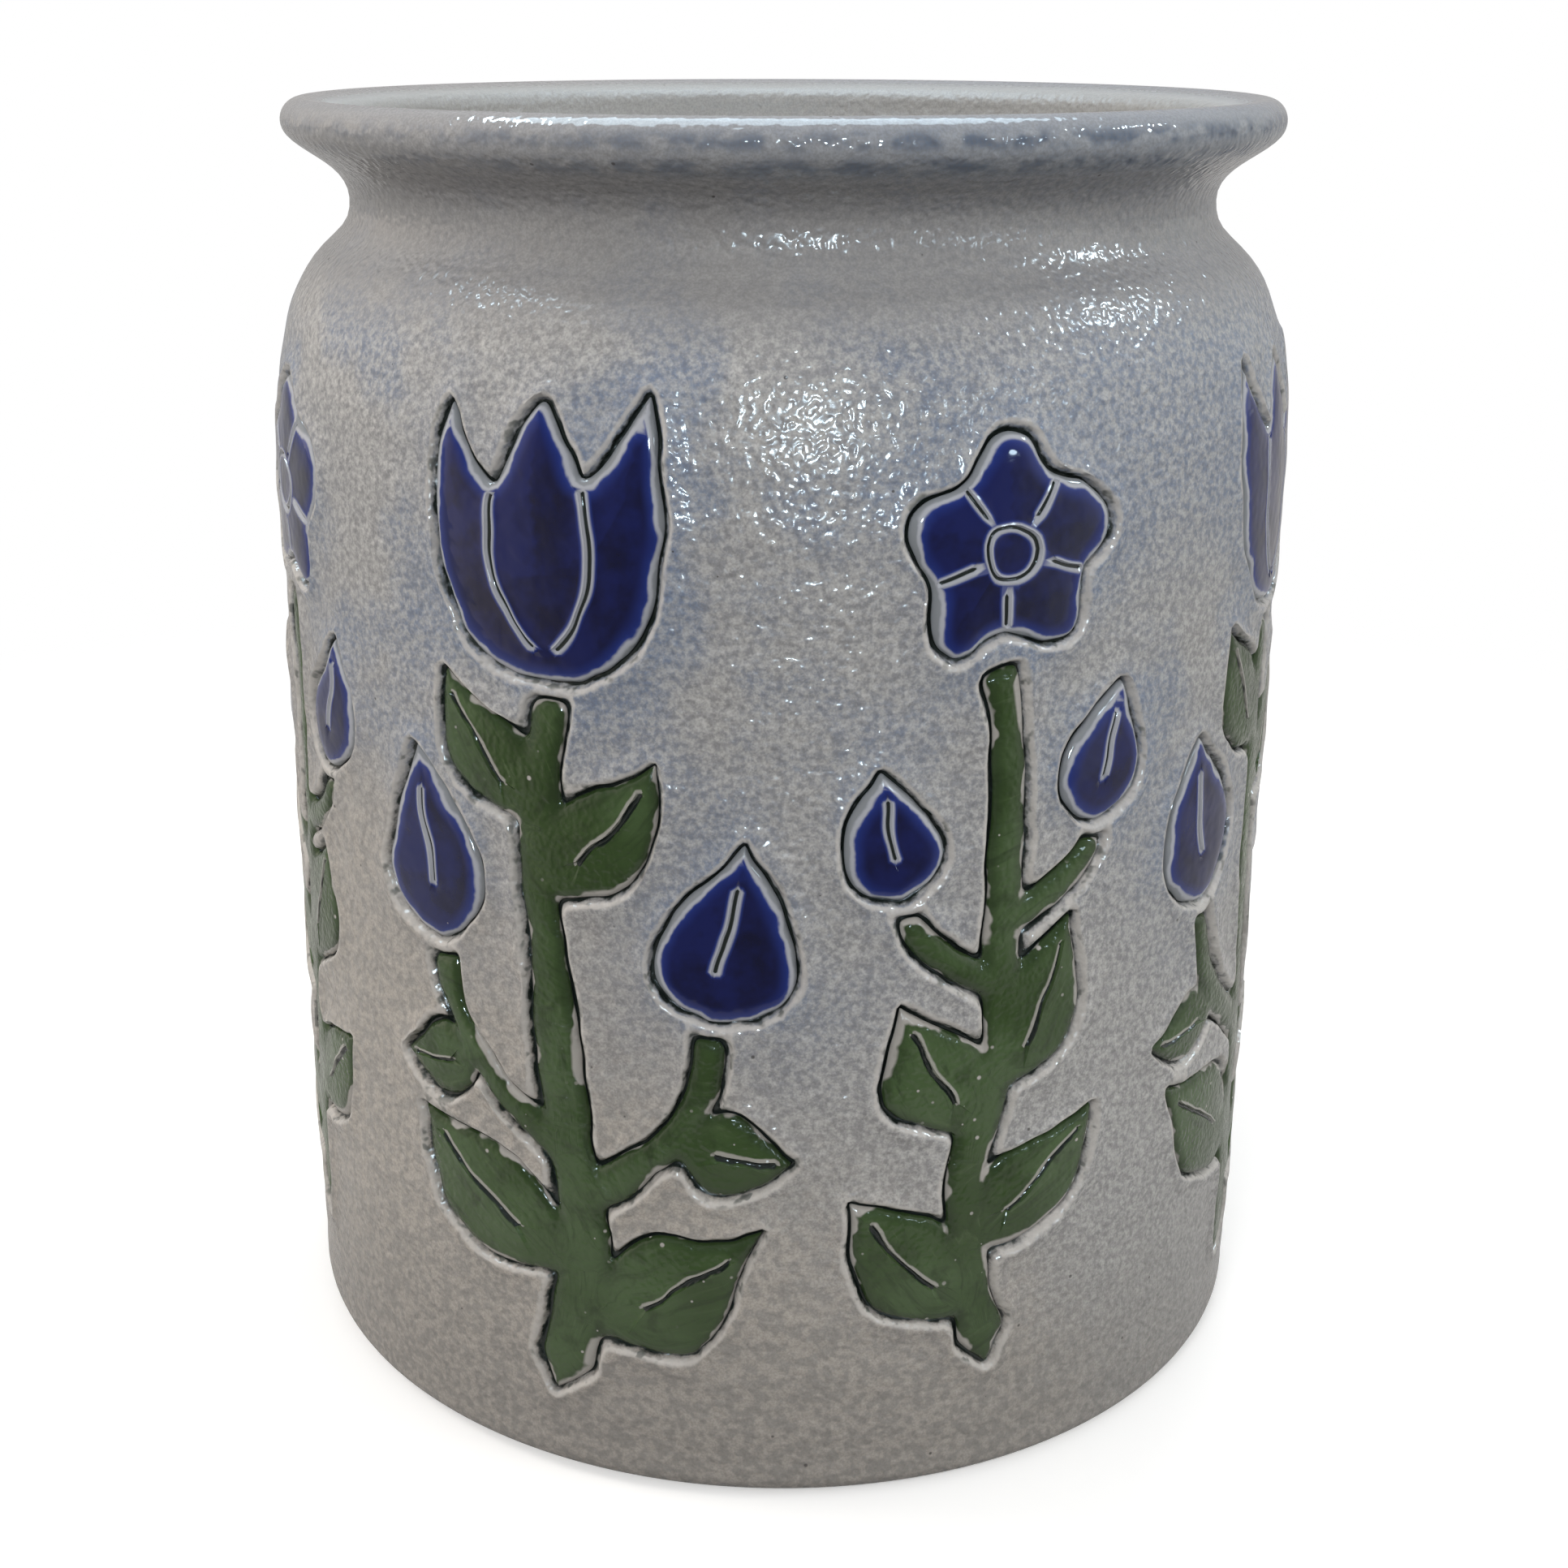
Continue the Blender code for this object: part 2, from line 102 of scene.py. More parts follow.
# Tulip sprig; a leaf is (side, share of the stem below it, heading in degrees), a shoot's size (reach, lift)
TULIP_HEIGHT = 35.0
TULIP_WIDTH = 33.5
TULIP_STEM_WIDTHS = (8.2, 5.2)
TULIP_STEM_SWAY = 7.0
LOWER_LEAF = (34.0, 17.5)
LOWER_LEAVES = ((1, 0.06, 25), (-1, 0.14, 28))
UPPER_LEAF = (26.0, 13.5)
UPPER_LEAVES = ((1, 0.70, 44), (-1, 0.79, 45))
BRANCHES = ((1, 0.26), (-1, 0.33))
BRANCH_SIZE = (20.0, 28.0)
BRANCH_WIDTHS = (6.0, 4.4)
BRANCH_LEAF = (17.0, 11.5)
BRANCH_LEAF_HEADING = -18
TULIP_BUD = (26.0, 18.0)

# Blossom sprig
BLOSSOM_FOOT_LIFT = 6.0
BLOSSOM_TOP_DROP = 3.0
BLOSSOM_RADIUS = 15.5
BLOSSOM_PETALS = 5
BLOSSOM_LOBE = 0.13
BLOSSOM_STEM_WIDTHS = (6.6, 4.8)
BLOSSOM_STEM_SWAY = -6.0
BLOSSOM_LEAF = (26.0, 15.0)
BLOSSOM_LEAVES = ((-1, 0.04, 34), (1, 0.13, 37), (-1, 0.32, 50), (1, 0.40, 52))
STALKS = ((-1, 0.56), (1, 0.64))
STALK_SIZE = (13.5, 12.5)
STALK_WIDTHS = (4.8, 4.2)
BLOSSOM_BUD = (19.5, 14.0)

# Relief round an outline: pairs of depth and height above the wall
GROOVE_RELIEF = ((-2.5, -0.9), (-0.3, -0.95), (0.0, -0.98), (0.18, -0.8), (0.44, 0.02), (0.85, 0.5),
                 (1.4, 0.46), (2.2, 0.2), (3.4, 0.0))
FIELD_RELIEF = ((-6.0, 0.42), (-2.6, 0.34), (-1.4, 0.22), (-0.8, 0.06), (-0.42, -0.24), (-0.15, -0.78))
FIELD_BED = -0.86
VEIN_RELIEF = ((0.0, -0.46), (0.22, -0.36), (0.45, 0.08), (0.8, 0.02), (1.2, 0.0))

# Distances: from an outline, how far its blue drifts, and from the outside to where the lining starts
VEIN_FADE = (0.4, 1.2)
RIDGE_FROM = 0.3
FAR = 9.0
HAZE_REACH = 30.0
HAZE_FADE = 5.0
INNER_FROM = (-1.5, 3.0)

# What the hand does; waves are (height, count, shortest and longest)
OUT_OF_ROUND = (0.16, 0.09)
THROWN_FROM = (20, 50)
FINGER_RIDGE = 0.035
INNER_RIDGE = 0.11
RIDGE_SPACING = 8.5
HAND_WAVES = ((0.9, 7, (28, 70)), (0.27, 9, (8, 15)), (0.07, 9, (3, 5)))
HAND_SEEDS = (11, 23)
HAND_LOW_EASE = 8.0
HAND_HIGH_EASE = 5.0
OUTLINE_WAVES = (0.1, 9, (6, 20))
PRESSURE_WAVES = (0.22, 8, (12, 40))

# How finely the surfaces are drawn; a grid starts at a depth, and rows stop short of the seam
PROFILE_STEP = 0.25
OUTLINE_STEP = 0.62
WALL_ROWS = (-0.5, 0.0, 0.18, 0.44, 0.85, 1.4, 2.2)
FIELD_ROWS = (-0.15, -0.42, -0.8, -1.4)
VEIN_ROWS = (-0.8, -0.45, -0.22, 0.0, 0.22, 0.45, 0.8)
REACH = 4.0
CORNER_EASE = 1.6
ROW_TOLERANCE = 0.06
ROW_CATCH = 0.5
MERGE = 0.1
WELD = 0.002
SHARP_ANGLE = math.radians(60)
ROW_CLEAR = 0.5
GRID_CLEAR = 0.8
WALL_GRID = 1.7
WALL_GRID_FROM = 2.9
BED_GRID = 4.0
BED_GRID_FROM = -2.0
FIELD_GRID = 1.2
FIELD_GRID_FROM = -1.9
VEIN_CLEAR = 1.2
VEIN_FROM = -0.5
TURN_STEPS = 240
EDGE_STEPS = 100
WEIGHT_STEPS = 256
DECOR_LOW = 6.0
DECOR_HIGH = 158.0


# Lines and outlines, as arrays of points


def bezier(start, start_handle, end_handle, end, steps=24):
    """Cubic curve: its four points weighted by the cubic Bernstein shares of t."""
    t = np.linspace(0, 1, steps + 1)[:, None]
    shares = ((1 - t) ** 3, 3 * t * (1 - t) ** 2, 3 * t**2 * (1 - t), t**3)
    points = np.array([start, start_handle, end_handle, end], float)
    return sum(share * point for share, point in zip(shares, points))


def arc(centre, radius, first, last, steps=12):
    """Circular arc: centre plus radius times the cosine and sine of an even run of angles."""
    angle = np.linspace(first, last, steps + 1)
    return np.asarray(centre, float) + radius * np.c_[np.cos(angle), np.sin(angle)]


def spaced(line, spacing):
    """The line with evenly spaced points, both ends kept."""
    along = np.concatenate([[0], np.cumsum(np.hypot(*np.diff(line, axis=0).T))])
    at = np.linspace(0, along[-1], max(3, round(along[-1] / spacing)) + 1)
    return np.column_stack([np.interp(at, along, line[:, axis]) for axis in (0, 1)])


def softened(outline, rounds=2):
    """A closed outline, evenly spaced, each point averaged with its neighbours to ease sharp tips."""
    points = spaced(np.vstack([outline, outline[:1]]), OUTLINE_STEP)[:-1]
    for _ in range(rounds):
        points = (np.roll(points, 1, axis=0) + 2 * points + np.roll(points, -1, axis=0)) / 4
    return points


def across_line(line, closed):
    """Unit normals to the right of a line, outwards on a counter-clockwise outline."""
    ahead = np.roll(line, -1, axis=0) - np.roll(line, 1, axis=0)
    if not closed:
        ahead = np.gradient(line, axis=0)
    normal = np.c_[ahead[:, 1], -ahead[:, 0]]
    return normal / np.linalg.norm(normal, axis=1, keepdims=True)


def heading(degrees):
    return np.array([math.cos(math.radians(degrees)), math.sin(math.radians(degrees))])


def leaf(base, degrees, size, curl=LEAF_CURL, skew=0.9, taper=1.25):
    """A leaf's outline and midrib. The midrib bends sideways with the square of t, and the half width
    across it is a power of the sine of pi times a power of t."""
    length, width = size
    t = np.linspace(0, 1, 33)[:, None]
    along = heading(degrees)
    side = np.array([-along[1], along[0]])
    midrib = base + length * (t * along + curl * t**2 * side)
    slope = along + 2 * curl * t * side
    normal = np.c_[-slope[:, 1], slope[:, 0]] / np.linalg.norm(slope, axis=1, keepdims=True)
    half = 0.5 * width * np.maximum(0, np.sin(np.pi * t**skew)) ** taper * normal
    return np.vstack([(midrib - half)[:-1], (midrib + half)[:0:-1]]), midrib


def bud(base, size):
    """A bud and its midline: a straight leaf that is fullest near its base."""
    return leaf(base, BUD_HEADING, size, curl=0, skew=0.66, taper=1)


def stem(line, widths, tip=0):
    """A stem's line moved to both sides by half a width that changes evenly along it."""
    half = 0.5 * np.linspace(*widths, len(line))[:, None] * across_line(line, closed=False)
    back = line[0] - line[1]
    point = [line[0] + tip * back / np.linalg.norm(back)] if tip else np.empty((0, 2))
    return np.vstack([point, line + half, (line - half)[::-1]])


def upright_line(foot, top, sway):
    """A stem's line that leans one way, then the other."""
    third = (top - foot) / 3
    return bezier((0, foot), (sway, foot + third), (-sway, top - third), (0, top))


def side_line(start, reach, lift):
    """A branch's line, out from the stem and then up."""
    end = start + (reach, lift)
    return bezier(start, start + (0.5 * reach, 0.25 * lift), end - (0, 0.5 * lift), end)


def fork(line, side, share):
    """Where a side shoot leaves a stem's line, as drawn for the right-hand side."""
    up = line[0, 1] + share * (line[-1, 1] - line[0, 1])
    return np.array([side * np.interp(up, line[:, 1], line[:, 0]), up])


def turned_to(side, line):
    """A line for the right-hand side, or mirrored for the left and kept counter-clockwise."""
    return line if side > 0 else (line * (-1, 1))[::-1]


def part_of(line, first, last):
    """The stretch of a line between two shares of its points."""
    return line[round(first * (len(line) - 1)):round(last * (len(line) - 1)) + 1]


def tulip(base):
    """A cup with three petal tips, from three curves a side, and its petal lines."""
    size = np.array([TULIP_WIDTH, TULIP_HEIGHT])
    curves = (
        ((0, 0), (0.42, 0), (0.60, 0.50), (0.42, 1.0)),
        ((0.42, 1.0), (0.32, 0.84), (0.24, 0.74), (0.18, 0.70)),
        ((0.18, 0.70), (0.13, 0.84), (0.06, 0.95), (0, 1.0)),
    )
    right = np.vstack([bezier(*curve)[:-1] for curve in curves])
    outline = np.vstack([right, (right[1:] * (-1, 1))[::-1]])
    fold = bezier((0.185, 0.66), (0.23, 0.44), (0.17, 0.24), (0.05, 0.13))
    return base + outline * size, [base + fold * size, base + fold * (-1, 1) * size]


def blossom(centre):
    """A rosette: a circle whose radius swings once for each petal, a round eye and a line between petals."""
    angle = np.linspace(0, 2 * np.pi, 121)[:-1]
    swing = 1 - BLOSSOM_LOBE + BLOSSOM_LOBE * np.cos(BLOSSOM_PETALS * (angle - np.pi / 2))
    outline = centre + BLOSSOM_RADIUS * swing[:, None] * np.c_[np.cos(angle), np.sin(angle)]
    lines = [arc(centre, 0.25 * BLOSSOM_RADIUS, 0, 2 * np.pi, 24)]
    for petal in range(BLOSSOM_PETALS):
        between = heading(90 + 360 * (petal + 0.5) / BLOSSOM_PETALS)
        lines.append(centre + np.linspace(0.40, 0.66, 12)[:, None] * BLOSSOM_RADIUS * between)
    return outline, lines


def stacked(parts):
    """Pairs of points and links in one run, with the links renumbered to suit."""
    starts = np.cumsum([0] + [len(points) for points, _ in parts])
    links = [links + start for (_, links), start in zip(parts, starts)]
    return np.vstack([points for points, _ in parts]), np.vstack(links)


class Field:
    """A glaze field: the outlines that it joins, those that it keeps clear of, and its incised lines."""

    def __init__(self, outlines, lines, clear_of=()):
        self.outlines = [softened(outline) for outline in outlines]
        self.clear_of = [softened(outline) for outline in clear_of]
        self.lines = [spaced(line, OUTLINE_STEP) for line in lines]

    def depth(self, points):
        """Signed distance to the joined outlines, held off every kept-clear outline by the gap."""
        depth = signed_distance(points, self.outlines)
        if self.clear_of:
            depth = -eased_least(-depth, signed_distance(points, self.clear_of) - FIELD_GAP)
        return depth

    def rows(self, offsets, distance):
        """Every outline carried out to each offset, as points and the steps between them. Points in an eased
        corner settle onto it, and points whose own distance isn't the offset are dropped."""
        found = []
        bases = [(outline, 0, 1) for outline in self.outlines]
        bases += [(outline, FIELD_GAP, -1) for outline in self.clear_of]
        for outline, start, direction in bases:
            normal = across_line(outline, closed=True)
            for offset in offsets:
                row = outline + (start + direction * offset) * normal
                error = np.abs(distance(row) - offset)
                loose = (error > ROW_TOLERANCE / 2) & (error < ROW_CATCH)
                row[loose] = settled(row[loose], offset, distance)
                kept = np.abs(distance(row) - offset) < ROW_TOLERANCE
                number = np.cumsum(kept) - 1
                steps = np.c_[number, np.roll(number, -1)]
                found.append((row[kept], steps[kept & np.roll(kept, -1)]))
        return stacked(found)

    def moved(self, across):
        """A copy of the field at another place on the wall."""
        copy, place = Field([], []), np.array([across, DECOR_FOOT])
        sets = (self.outlines, self.clear_of, self.lines)
        copy.outlines, copy.clear_of, copy.lines = ([line + place for line in lines] for lines in sets)
        return copy

    def reach(self):
        """How far a sprig reaches from its middle, with its flowers."""
        return max(np.abs(outline[:, 0]).max() for outline in self.outlines + self.clear_of)


def sprig(name, flower, line, widths, leaves, forks, shoot):
    """A sprig's green field of stem, leaves and shoots, and its blue fields by node name, one to a flower."""
    shoot_size, shoot_widths, shoot_leaf, bud_size = shoot
    outlines, veins = [stem(line, widths, STEM_TIP)], []

    def add_leaf(base, side, degrees, size, vein_start):
        outline, midrib = leaf(base, degrees, size)
        outlines.append(turned_to(side, outline))
        veins.append(turned_to(side, part_of(midrib, vein_start, 0.80)))

    for size, places in leaves:
        for side, share, degrees in places:
            add_leaf(fork(line, side, share), side, degrees, size, 0.30)
    blue = {f"{name}_glaze": flower}
    for side, share in forks:
        branch = side_line(fork(line, side, share), *shoot_size)
        outlines.append(turned_to(side, stem(branch, shoot_widths)))
        if shoot_leaf:
            add_leaf(branch[len(branch) // 2], side, BRANCH_LEAF_HEADING, shoot_leaf, 0.36)
        outline, midline = bud(branch[-1], bud_size)
        node = f"{name}_bud_{'right' if side > 0 else 'left'}_glaze"
        blue[node] = turned_to(side, outline), [turned_to(side, part_of(midline, 0.30, 0.74))]
    fields = {node: Field([outline], lines) for node, (outline, lines) in blue.items()}
    return Field(outlines, veins, [outline for outline, _ in blue.values()]), fields


def tulip_sprig():
    """A tulip with four leaves and two leafy branches that end in buds."""
    cup = PATTERN_HEIGHT - TULIP_HEIGHT
    line = upright_line(STEM_TIP, cup, TULIP_STEM_SWAY)
    leaves = ((LOWER_LEAF, LOWER_LEAVES), (UPPER_LEAF, UPPER_LEAVES))
    branch = (BRANCH_SIZE, BRANCH_WIDTHS, BRANCH_LEAF, TULIP_BUD)
    flower = tulip(np.array([0, cup]))
    return sprig("tulip", flower, line, TULIP_STEM_WIDTHS, leaves, BRANCHES, branch)


def blossom_sprig():
    """A blossom with four leaves and two bare stalks that end in buds."""
    centre = np.array([0, PATTERN_HEIGHT - BLOSSOM_TOP_DROP - BLOSSOM_RADIUS])
    line = upright_line(BLOSSOM_FOOT_LIFT + STEM_TIP, centre[1] - BLOSSOM_RADIUS, BLOSSOM_STEM_SWAY)
    leaves = ((BLOSSOM_LEAF, BLOSSOM_LEAVES),)
    stalk = (STALK_SIZE, STALK_WIDTHS, None, BLOSSOM_BUD)
    return sprig("blossom", blossom(centre), line, BLOSSOM_STEM_WIDTHS, leaves, STALKS, stalk)


# Distances on the flat decor


def nearest_step(points, starts, ends, group=1500):
    """Each point's distance to the nearest straight step and its side of it: the point is dropped onto every
    step, at a share between its ends, and the shortest drop is taken."""
    step = ends - starts
    length_squared = np.maximum((step**2).sum(1), 1e-12)
    distances, sides = [np.empty(0)], [np.empty(0)]
    for some in np.array_split(points, max(1, len(points) // group)):
        away = some[:, None] - starts
        share = np.clip((away * step).sum(2) / length_squared, 0, 1)
        squared = ((away - share[..., None] * step) ** 2).sum(2)
        best = squared.argmin(1)
        row = np.arange(len(some))
        turn = step[best, 0] * away[row, best, 1] - step[best, 1] * away[row, best, 0]
        distances.append(np.sqrt(squared[row, best]))
        sides.append(np.sign(turn))
    return np.concatenate(distances), np.concatenate(sides)


def inside(points, outline):
    """True where a level ray from the point crosses the outline an odd number of times."""
    after = np.roll(outline, -1, axis=0)
    x, y = points[:, :1], points[:, 1:]
    crosses = (outline[:, 1] > y) != (after[:, 1] > y)
    rise = np.where(after[:, 1] == outline[:, 1], 1, after[:, 1] - outline[:, 1])
    at = outline[:, 0] + (y - outline[:, 1]) / rise * (after[:, 0] - outline[:, 0])
    return (crosses & (x < at)).sum(1) % 2 == 1


def eased_least(first, second):
    """The smaller of two distances, less a share of how nearly they are equal, which rounds the corner."""
    near = np.maximum(CORNER_EASE - np.abs(first - second), 0) / CORNER_EASE
    return np.minimum(first, second) - CORNER_EASE / 4 * near**2


def signed_distance(points, outlines, reach=REACH):
    """Least distance to the outlines, negative inside any of them, and reach where all are farther."""
    found = np.full(len(points), reach)
    for outline in outlines:
        near = ((points > outline.min(0) - reach) & (points < outline.max(0) + reach)).all(1)
        if near.any():
            distance, _ = nearest_step(points[near], outline, np.roll(outline, -1, axis=0))
            distance[inside(points[near], outline)] *= -1
            found[near] = eased_least(found[near], distance)
    return found


def steepest(points, distance, here, step=0.05):
    """A distance's slope at each point, from its change over a small step along each axis."""
    return np.column_stack([distance(points + way) - here for way in step * np.eye(2)]) / step


def settled(points, offset, distance):
    """Moves points along the slope of a distance until it is the offset."""
    for _ in range(2 if len(points) else 0):
        here = distance(points)
        slope = steepest(points, distance, here)
        size = np.maximum((slope**2).sum(1, keepdims=True), 0.1)
        points = points - (here - offset)[:, None] * slope / size
    return points


def line_distance(points, lines):
    """Distance to the nearest incised line, and 1 on its left or -1 on its right."""
    starts = np.vstack([line[:-1] for line in lines])
    ends = np.vstack([line[1:] for line in lines])
    distance, side = nearest_step(points, starts, ends)
    return distance, np.where(side < 0, -1, 1)


def lattice(low, high, spacing):
    """Points of a triangular lattice that fills a box."""
    rows = np.arange(low[1], high[1], spacing * math.sqrt(0.75))
    columns = np.arange(low[0], high[0], spacing)
    x, y = np.meshgrid(columns, rows)
    x[1::2] += spacing / 2
    return np.c_[x.ravel(), y.ravel()]


def triangles(points, steps):
    """Delaunay triangles over the points that keep the given steps as edges."""
    made = delaunay_2d_cdt(points.tolist(), steps.tolist(), [], 0, MERGE)
    return np.array(made[0]), np.array(made[2])


def relief(pairs, depth):
    """Height at a depth, with straight stretches between pairs of depth and height."""
    return np.interp(depth, *zip(*sorted(pairs)))


# The turned wall, and what the hand does to it


def eased(value, low, high):
    """0 below low, 1 above high, and a smooth step between."""
    t = np.clip((value - low) / (high - low), 0, 1)
    return t * t * (3 - 2 * t)


def waves(seed, across, up, height, count, lengths):
    """Sine waves at seeded lengths, headings and phases that close round the wall: their sum over the root
    of their count, times a height."""
    rng = np.random.default_rng(seed)
    girth = PAIRS * PITCH
    total = np.zeros_like(across)
    for _ in range(count):
        length, turn, phase = rng.uniform(*lengths), rng.uniform(0, 2 * np.pi), rng.uniform(0, 2 * np.pi)
        round_wall = 2 * np.pi * round(girth / length * math.cos(turn)) / girth
        total += np.sin(round_wall * across + 2 * np.pi * math.sin(turn) / length * up + phase)
    return height * (total / math.sqrt(count))


def drawn_by_hand(flat):
    """Moves points of the flat decor by broad and fine sums of waves, which die out at the decor's edges."""
    up = flat[:, 1]
    loose = eased(up, DECOR_LOW, DECOR_LOW + HAND_LOW_EASE)
    loose = loose * (1 - eased(up, DECOR_HIGH - HAND_HIGH_EASE, DECOR_HIGH))
    shift = [sum(waves(seed + i, *flat.T, *row) for i, row in enumerate(HAND_WAVES)) for seed in HAND_SEEDS]
    return flat + (loose * np.array(shift)).T


def shoulder_curve(neck_radius, shoulder_radius):
    """From the neck's narrowest ring down to where the straight wall starts."""
    neck = np.array([neck_radius, HEIGHT - NECK_DROP])
    shoulder = np.array([shoulder_radius, HEIGHT - SHOULDER_DROP])
    return bezier(neck, neck - NECK_LOWER_EASE * UP, shoulder + SHOULDER_FULLNESS * UP, shoulder, 60)


OUTER_WALL = np.vstack([shoulder_curve(NECK_RADIUS, SHOULDER_RADIUS), [(FOOT_RADIUS, BASE_EDGE)]])[::-1]
WALL_RADII, WALL_HEIGHTS = spaced(OUTER_WALL, PROFILE_STEP).T


def wall_radius(up):
    return np.interp(up, WALL_HEIGHTS, WALL_RADII)


def wall_line(low, high, steps):
    """The outside's radius and height at even heights from the first to the last."""
    up = np.linspace(low, high, steps)
    return np.c_[wall_radius(up), up]


def on_wall(flat, height):
    """Flat points wrapped round the outside at the profile's radius, and moved out along its normal."""
    across, up = flat.T
    slope = np.interp(up, WALL_HEIGHTS, np.gradient(WALL_RADII, WALL_HEIGHTS))
    lean = np.hypot(1, slope)
    radius = wall_radius(up) + height / lean
    angle = across / SHOULDER_RADIUS
    return np.c_[radius * np.sin(angle), -radius * np.cos(angle), up - height * slope / lean]


def thrown(points, ridges=FINGER_RIDGE):
    """Points moved in and out by a potter's hand: out of round by two and three waves, more towards the lip,
    with faint ridges where the fingers climbed."""
    angle = np.arctan2(points[:, 0], -points[:, 1])
    radius = np.hypot(points[:, 0], points[:, 1])
    up = points[:, 2] / HEIGHT
    two, three = OUT_OF_ROUND
    shift = up * (two * np.sin(2 * angle + 0.7) + three * np.sin(3 * angle + 4 * up))
    shift += ridges * np.sin(2 * np.pi * points[:, 2] / RIDGE_SPACING + angle)
    grown = 1 + shift * eased(radius, *THROWN_FROM) / np.maximum(radius, 1)
    return points * np.c_[grown, grown, np.ones_like(grown)]


# Meshes and pieces


def linked(name, data):
    """A new object in the scene that holds the data."""
    holder = bpy.data.objects.new(name, data)
    bpy.context.scene.collection.objects.link(holder)
    return holder


def add_piece(name, points, faces, material, body, node, attributes=None):
    """A mesh object of those points and faces, which rides on its body and stands for its node."""
    mesh = bpy.data.meshes.new(name)
    mesh.from_pydata((points * MM).tolist(), [], faces.tolist())
    for key, values in (attributes or {}).items():
        mesh.attributes.new(key, "FLOAT", "POINT").data.foreach_set("value", values.astype(np.float32))
    shape = bmesh.new()
    shape.from_mesh(mesh)
    bmesh.ops.remove_doubles(shape, verts=shape.verts, dist=WELD * MM)
    bmesh.ops.recalc_face_normals(shape, faces=shape.faces)
    shape.to_mesh(mesh)
    shape.free()
    mesh.shade_smooth()
    mesh.set_sharp_from_angle(angle=SHARP_ANGLE)
    mesh.materials.append(material)
    piece = linked(name, mesh)
    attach(piece, body)
    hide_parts(node)


def grid_faces(rows, columns, closed):
    """Two triangles for each cell of a grid whose columns, and rows if closed, run round to the start."""
    row, column = np.indices((rows if closed else rows - 1, columns))
    next_row, next_column = (row + 1) % rows, (column + 1) % columns
    a, b = row * columns + column, row * columns + next_column
    c, d = next_row * columns + next_column, next_row * columns + column
    return np.concatenate([np.stack([a, b, c], -1), np.stack([a, c, d], -1)]).reshape(-1, 3)


def turned_rings(profile):
    """A profile of radius and height carried round the axis at the decor's own angles."""
    angle = (SEAM + np.arange(TURN_STEPS) * PAIRS * PITCH / TURN_STEPS) / SHOULDER_RADIUS
    radius, up = profile[:, 0, None], profile[:, 1, None]
    points = np.stack([radius * np.sin(angle), -radius * np.cos(angle), up + 0 * angle], -1)
    return points.reshape(-1, 3), grid_faces(len(profile), TURN_STEPS, closed=False)


def inside_and_lip():
    """From the centre of the floor up the inside and over the lip to the top of the decor."""
    inner_wall = SHOULDER_RADIUS - WALL
    floor = np.c_[np.linspace(0, inner_wall - FLOOR_FILLET, 11), np.full(11, FLOOR)]
    fillet = arc((inner_wall - FLOOR_FILLET, FLOOR + FLOOR_FILLET), FLOOR_FILLET, -np.pi / 2, 0, 6)
    shoulder = spaced(shoulder_curve(NECK_RADIUS - WALL, inner_wall)[::-1], 2.5)
    side = spaced(np.vstack([fillet[-1:], shoulder[:1]]), 2)
    neck = shoulder[-1]
    tilt = np.pi / 2 + math.atan2(LIP_FALL, LIP_WIDTH - 2 * LIP_ROLL)
    inner_roll = (LIP_RADIUS - LIP_WIDTH + LIP_ROLL, HEIGHT - LIP_FALL - LIP_ROLL)
    inner_lip = arc(inner_roll, LIP_ROLL, np.pi, tilt, 8)
    start = inner_lip[0]
    inner_throat = bezier(neck, neck + NECK_UPPER_EASE * UP, start - LIP_UNDER_EASE * UP, start, 7)
    lip = arc((LIP_RADIUS - LIP_ROLL, HEIGHT - LIP_ROLL), LIP_ROLL, tilt, -LIP_UNDERCUT, 16)
    crown = spaced(np.vstack([inner_lip[-1:], lip[:1]]), 1)
    under = np.array([-math.sin(LIP_UNDERCUT), -math.cos(LIP_UNDERCUT)])
    neck = np.array([NECK_RADIUS, HEIGHT - NECK_DROP])
    throat = bezier(lip[-1], lip[-1] + LIP_UNDER_EASE * under, neck + NECK_UPPER_EASE * UP, neck, 10)
    below = wall_line(neck[1], DECOR_HIGH, 11)
    runs = (fillet, side, shoulder, inner_throat, inner_lip, crown, lip, throat, below)
    return np.vstack([floor] + [run[1:] for run in runs])


def foot():
    """From the bottom of the decor round the base's edge to the centre of the recess underneath."""
    wall = wall_line(DECOR_LOW, BASE_EDGE, 3)
    edge = arc((FOOT_RADIUS - BASE_EDGE, BASE_EDGE), BASE_EDGE, 0, -np.pi / 2, 8)
    ring = FOOT_RADIUS - BASE_EDGE - FOOT_RING
    underside = np.array([(ring, 0), (ring - FOOT_RECESS, FOOT_RECESS), (0, FOOT_RECESS)])
    runs = [spaced(underside[i:i + 2], step)[1:] for i, step in ((0, 0.6), (1, 7))]
    return np.vstack([wall, edge[1:], underside[:1], *runs])


TULIP_GREEN, TULIP_BLUE = tulip_sprig()
BLOSSOM_GREEN, BLOSSOM_BLUE = blossom_sprig()
# The first tulip's place, the first blossom's, and the clear line to the left of a blossom and a tulip
FIRST_TULIP = -PITCH / 4
FIRST_BLOSSOM = PITCH / 4
SEAM = FIRST_TULIP - PITCH / 2 - (PITCH / 2 + BLOSSOM_GREEN.reach() - TULIP_GREEN.reach()) / 2


def decor_fields(across):
    """All fields of the tulip and blossom that a quarter of the wall holds, moved round by a distance."""
    fields = [field.moved(FIRST_TULIP + across) for field in (TULIP_GREEN, *TULIP_BLUE.values())]
    first = FIRST_BLOSSOM - PITCH
    return fields + [field.moved(first + across) for field in (BLOSSOM_GREEN, *BLOSSOM_BLUE.values())]


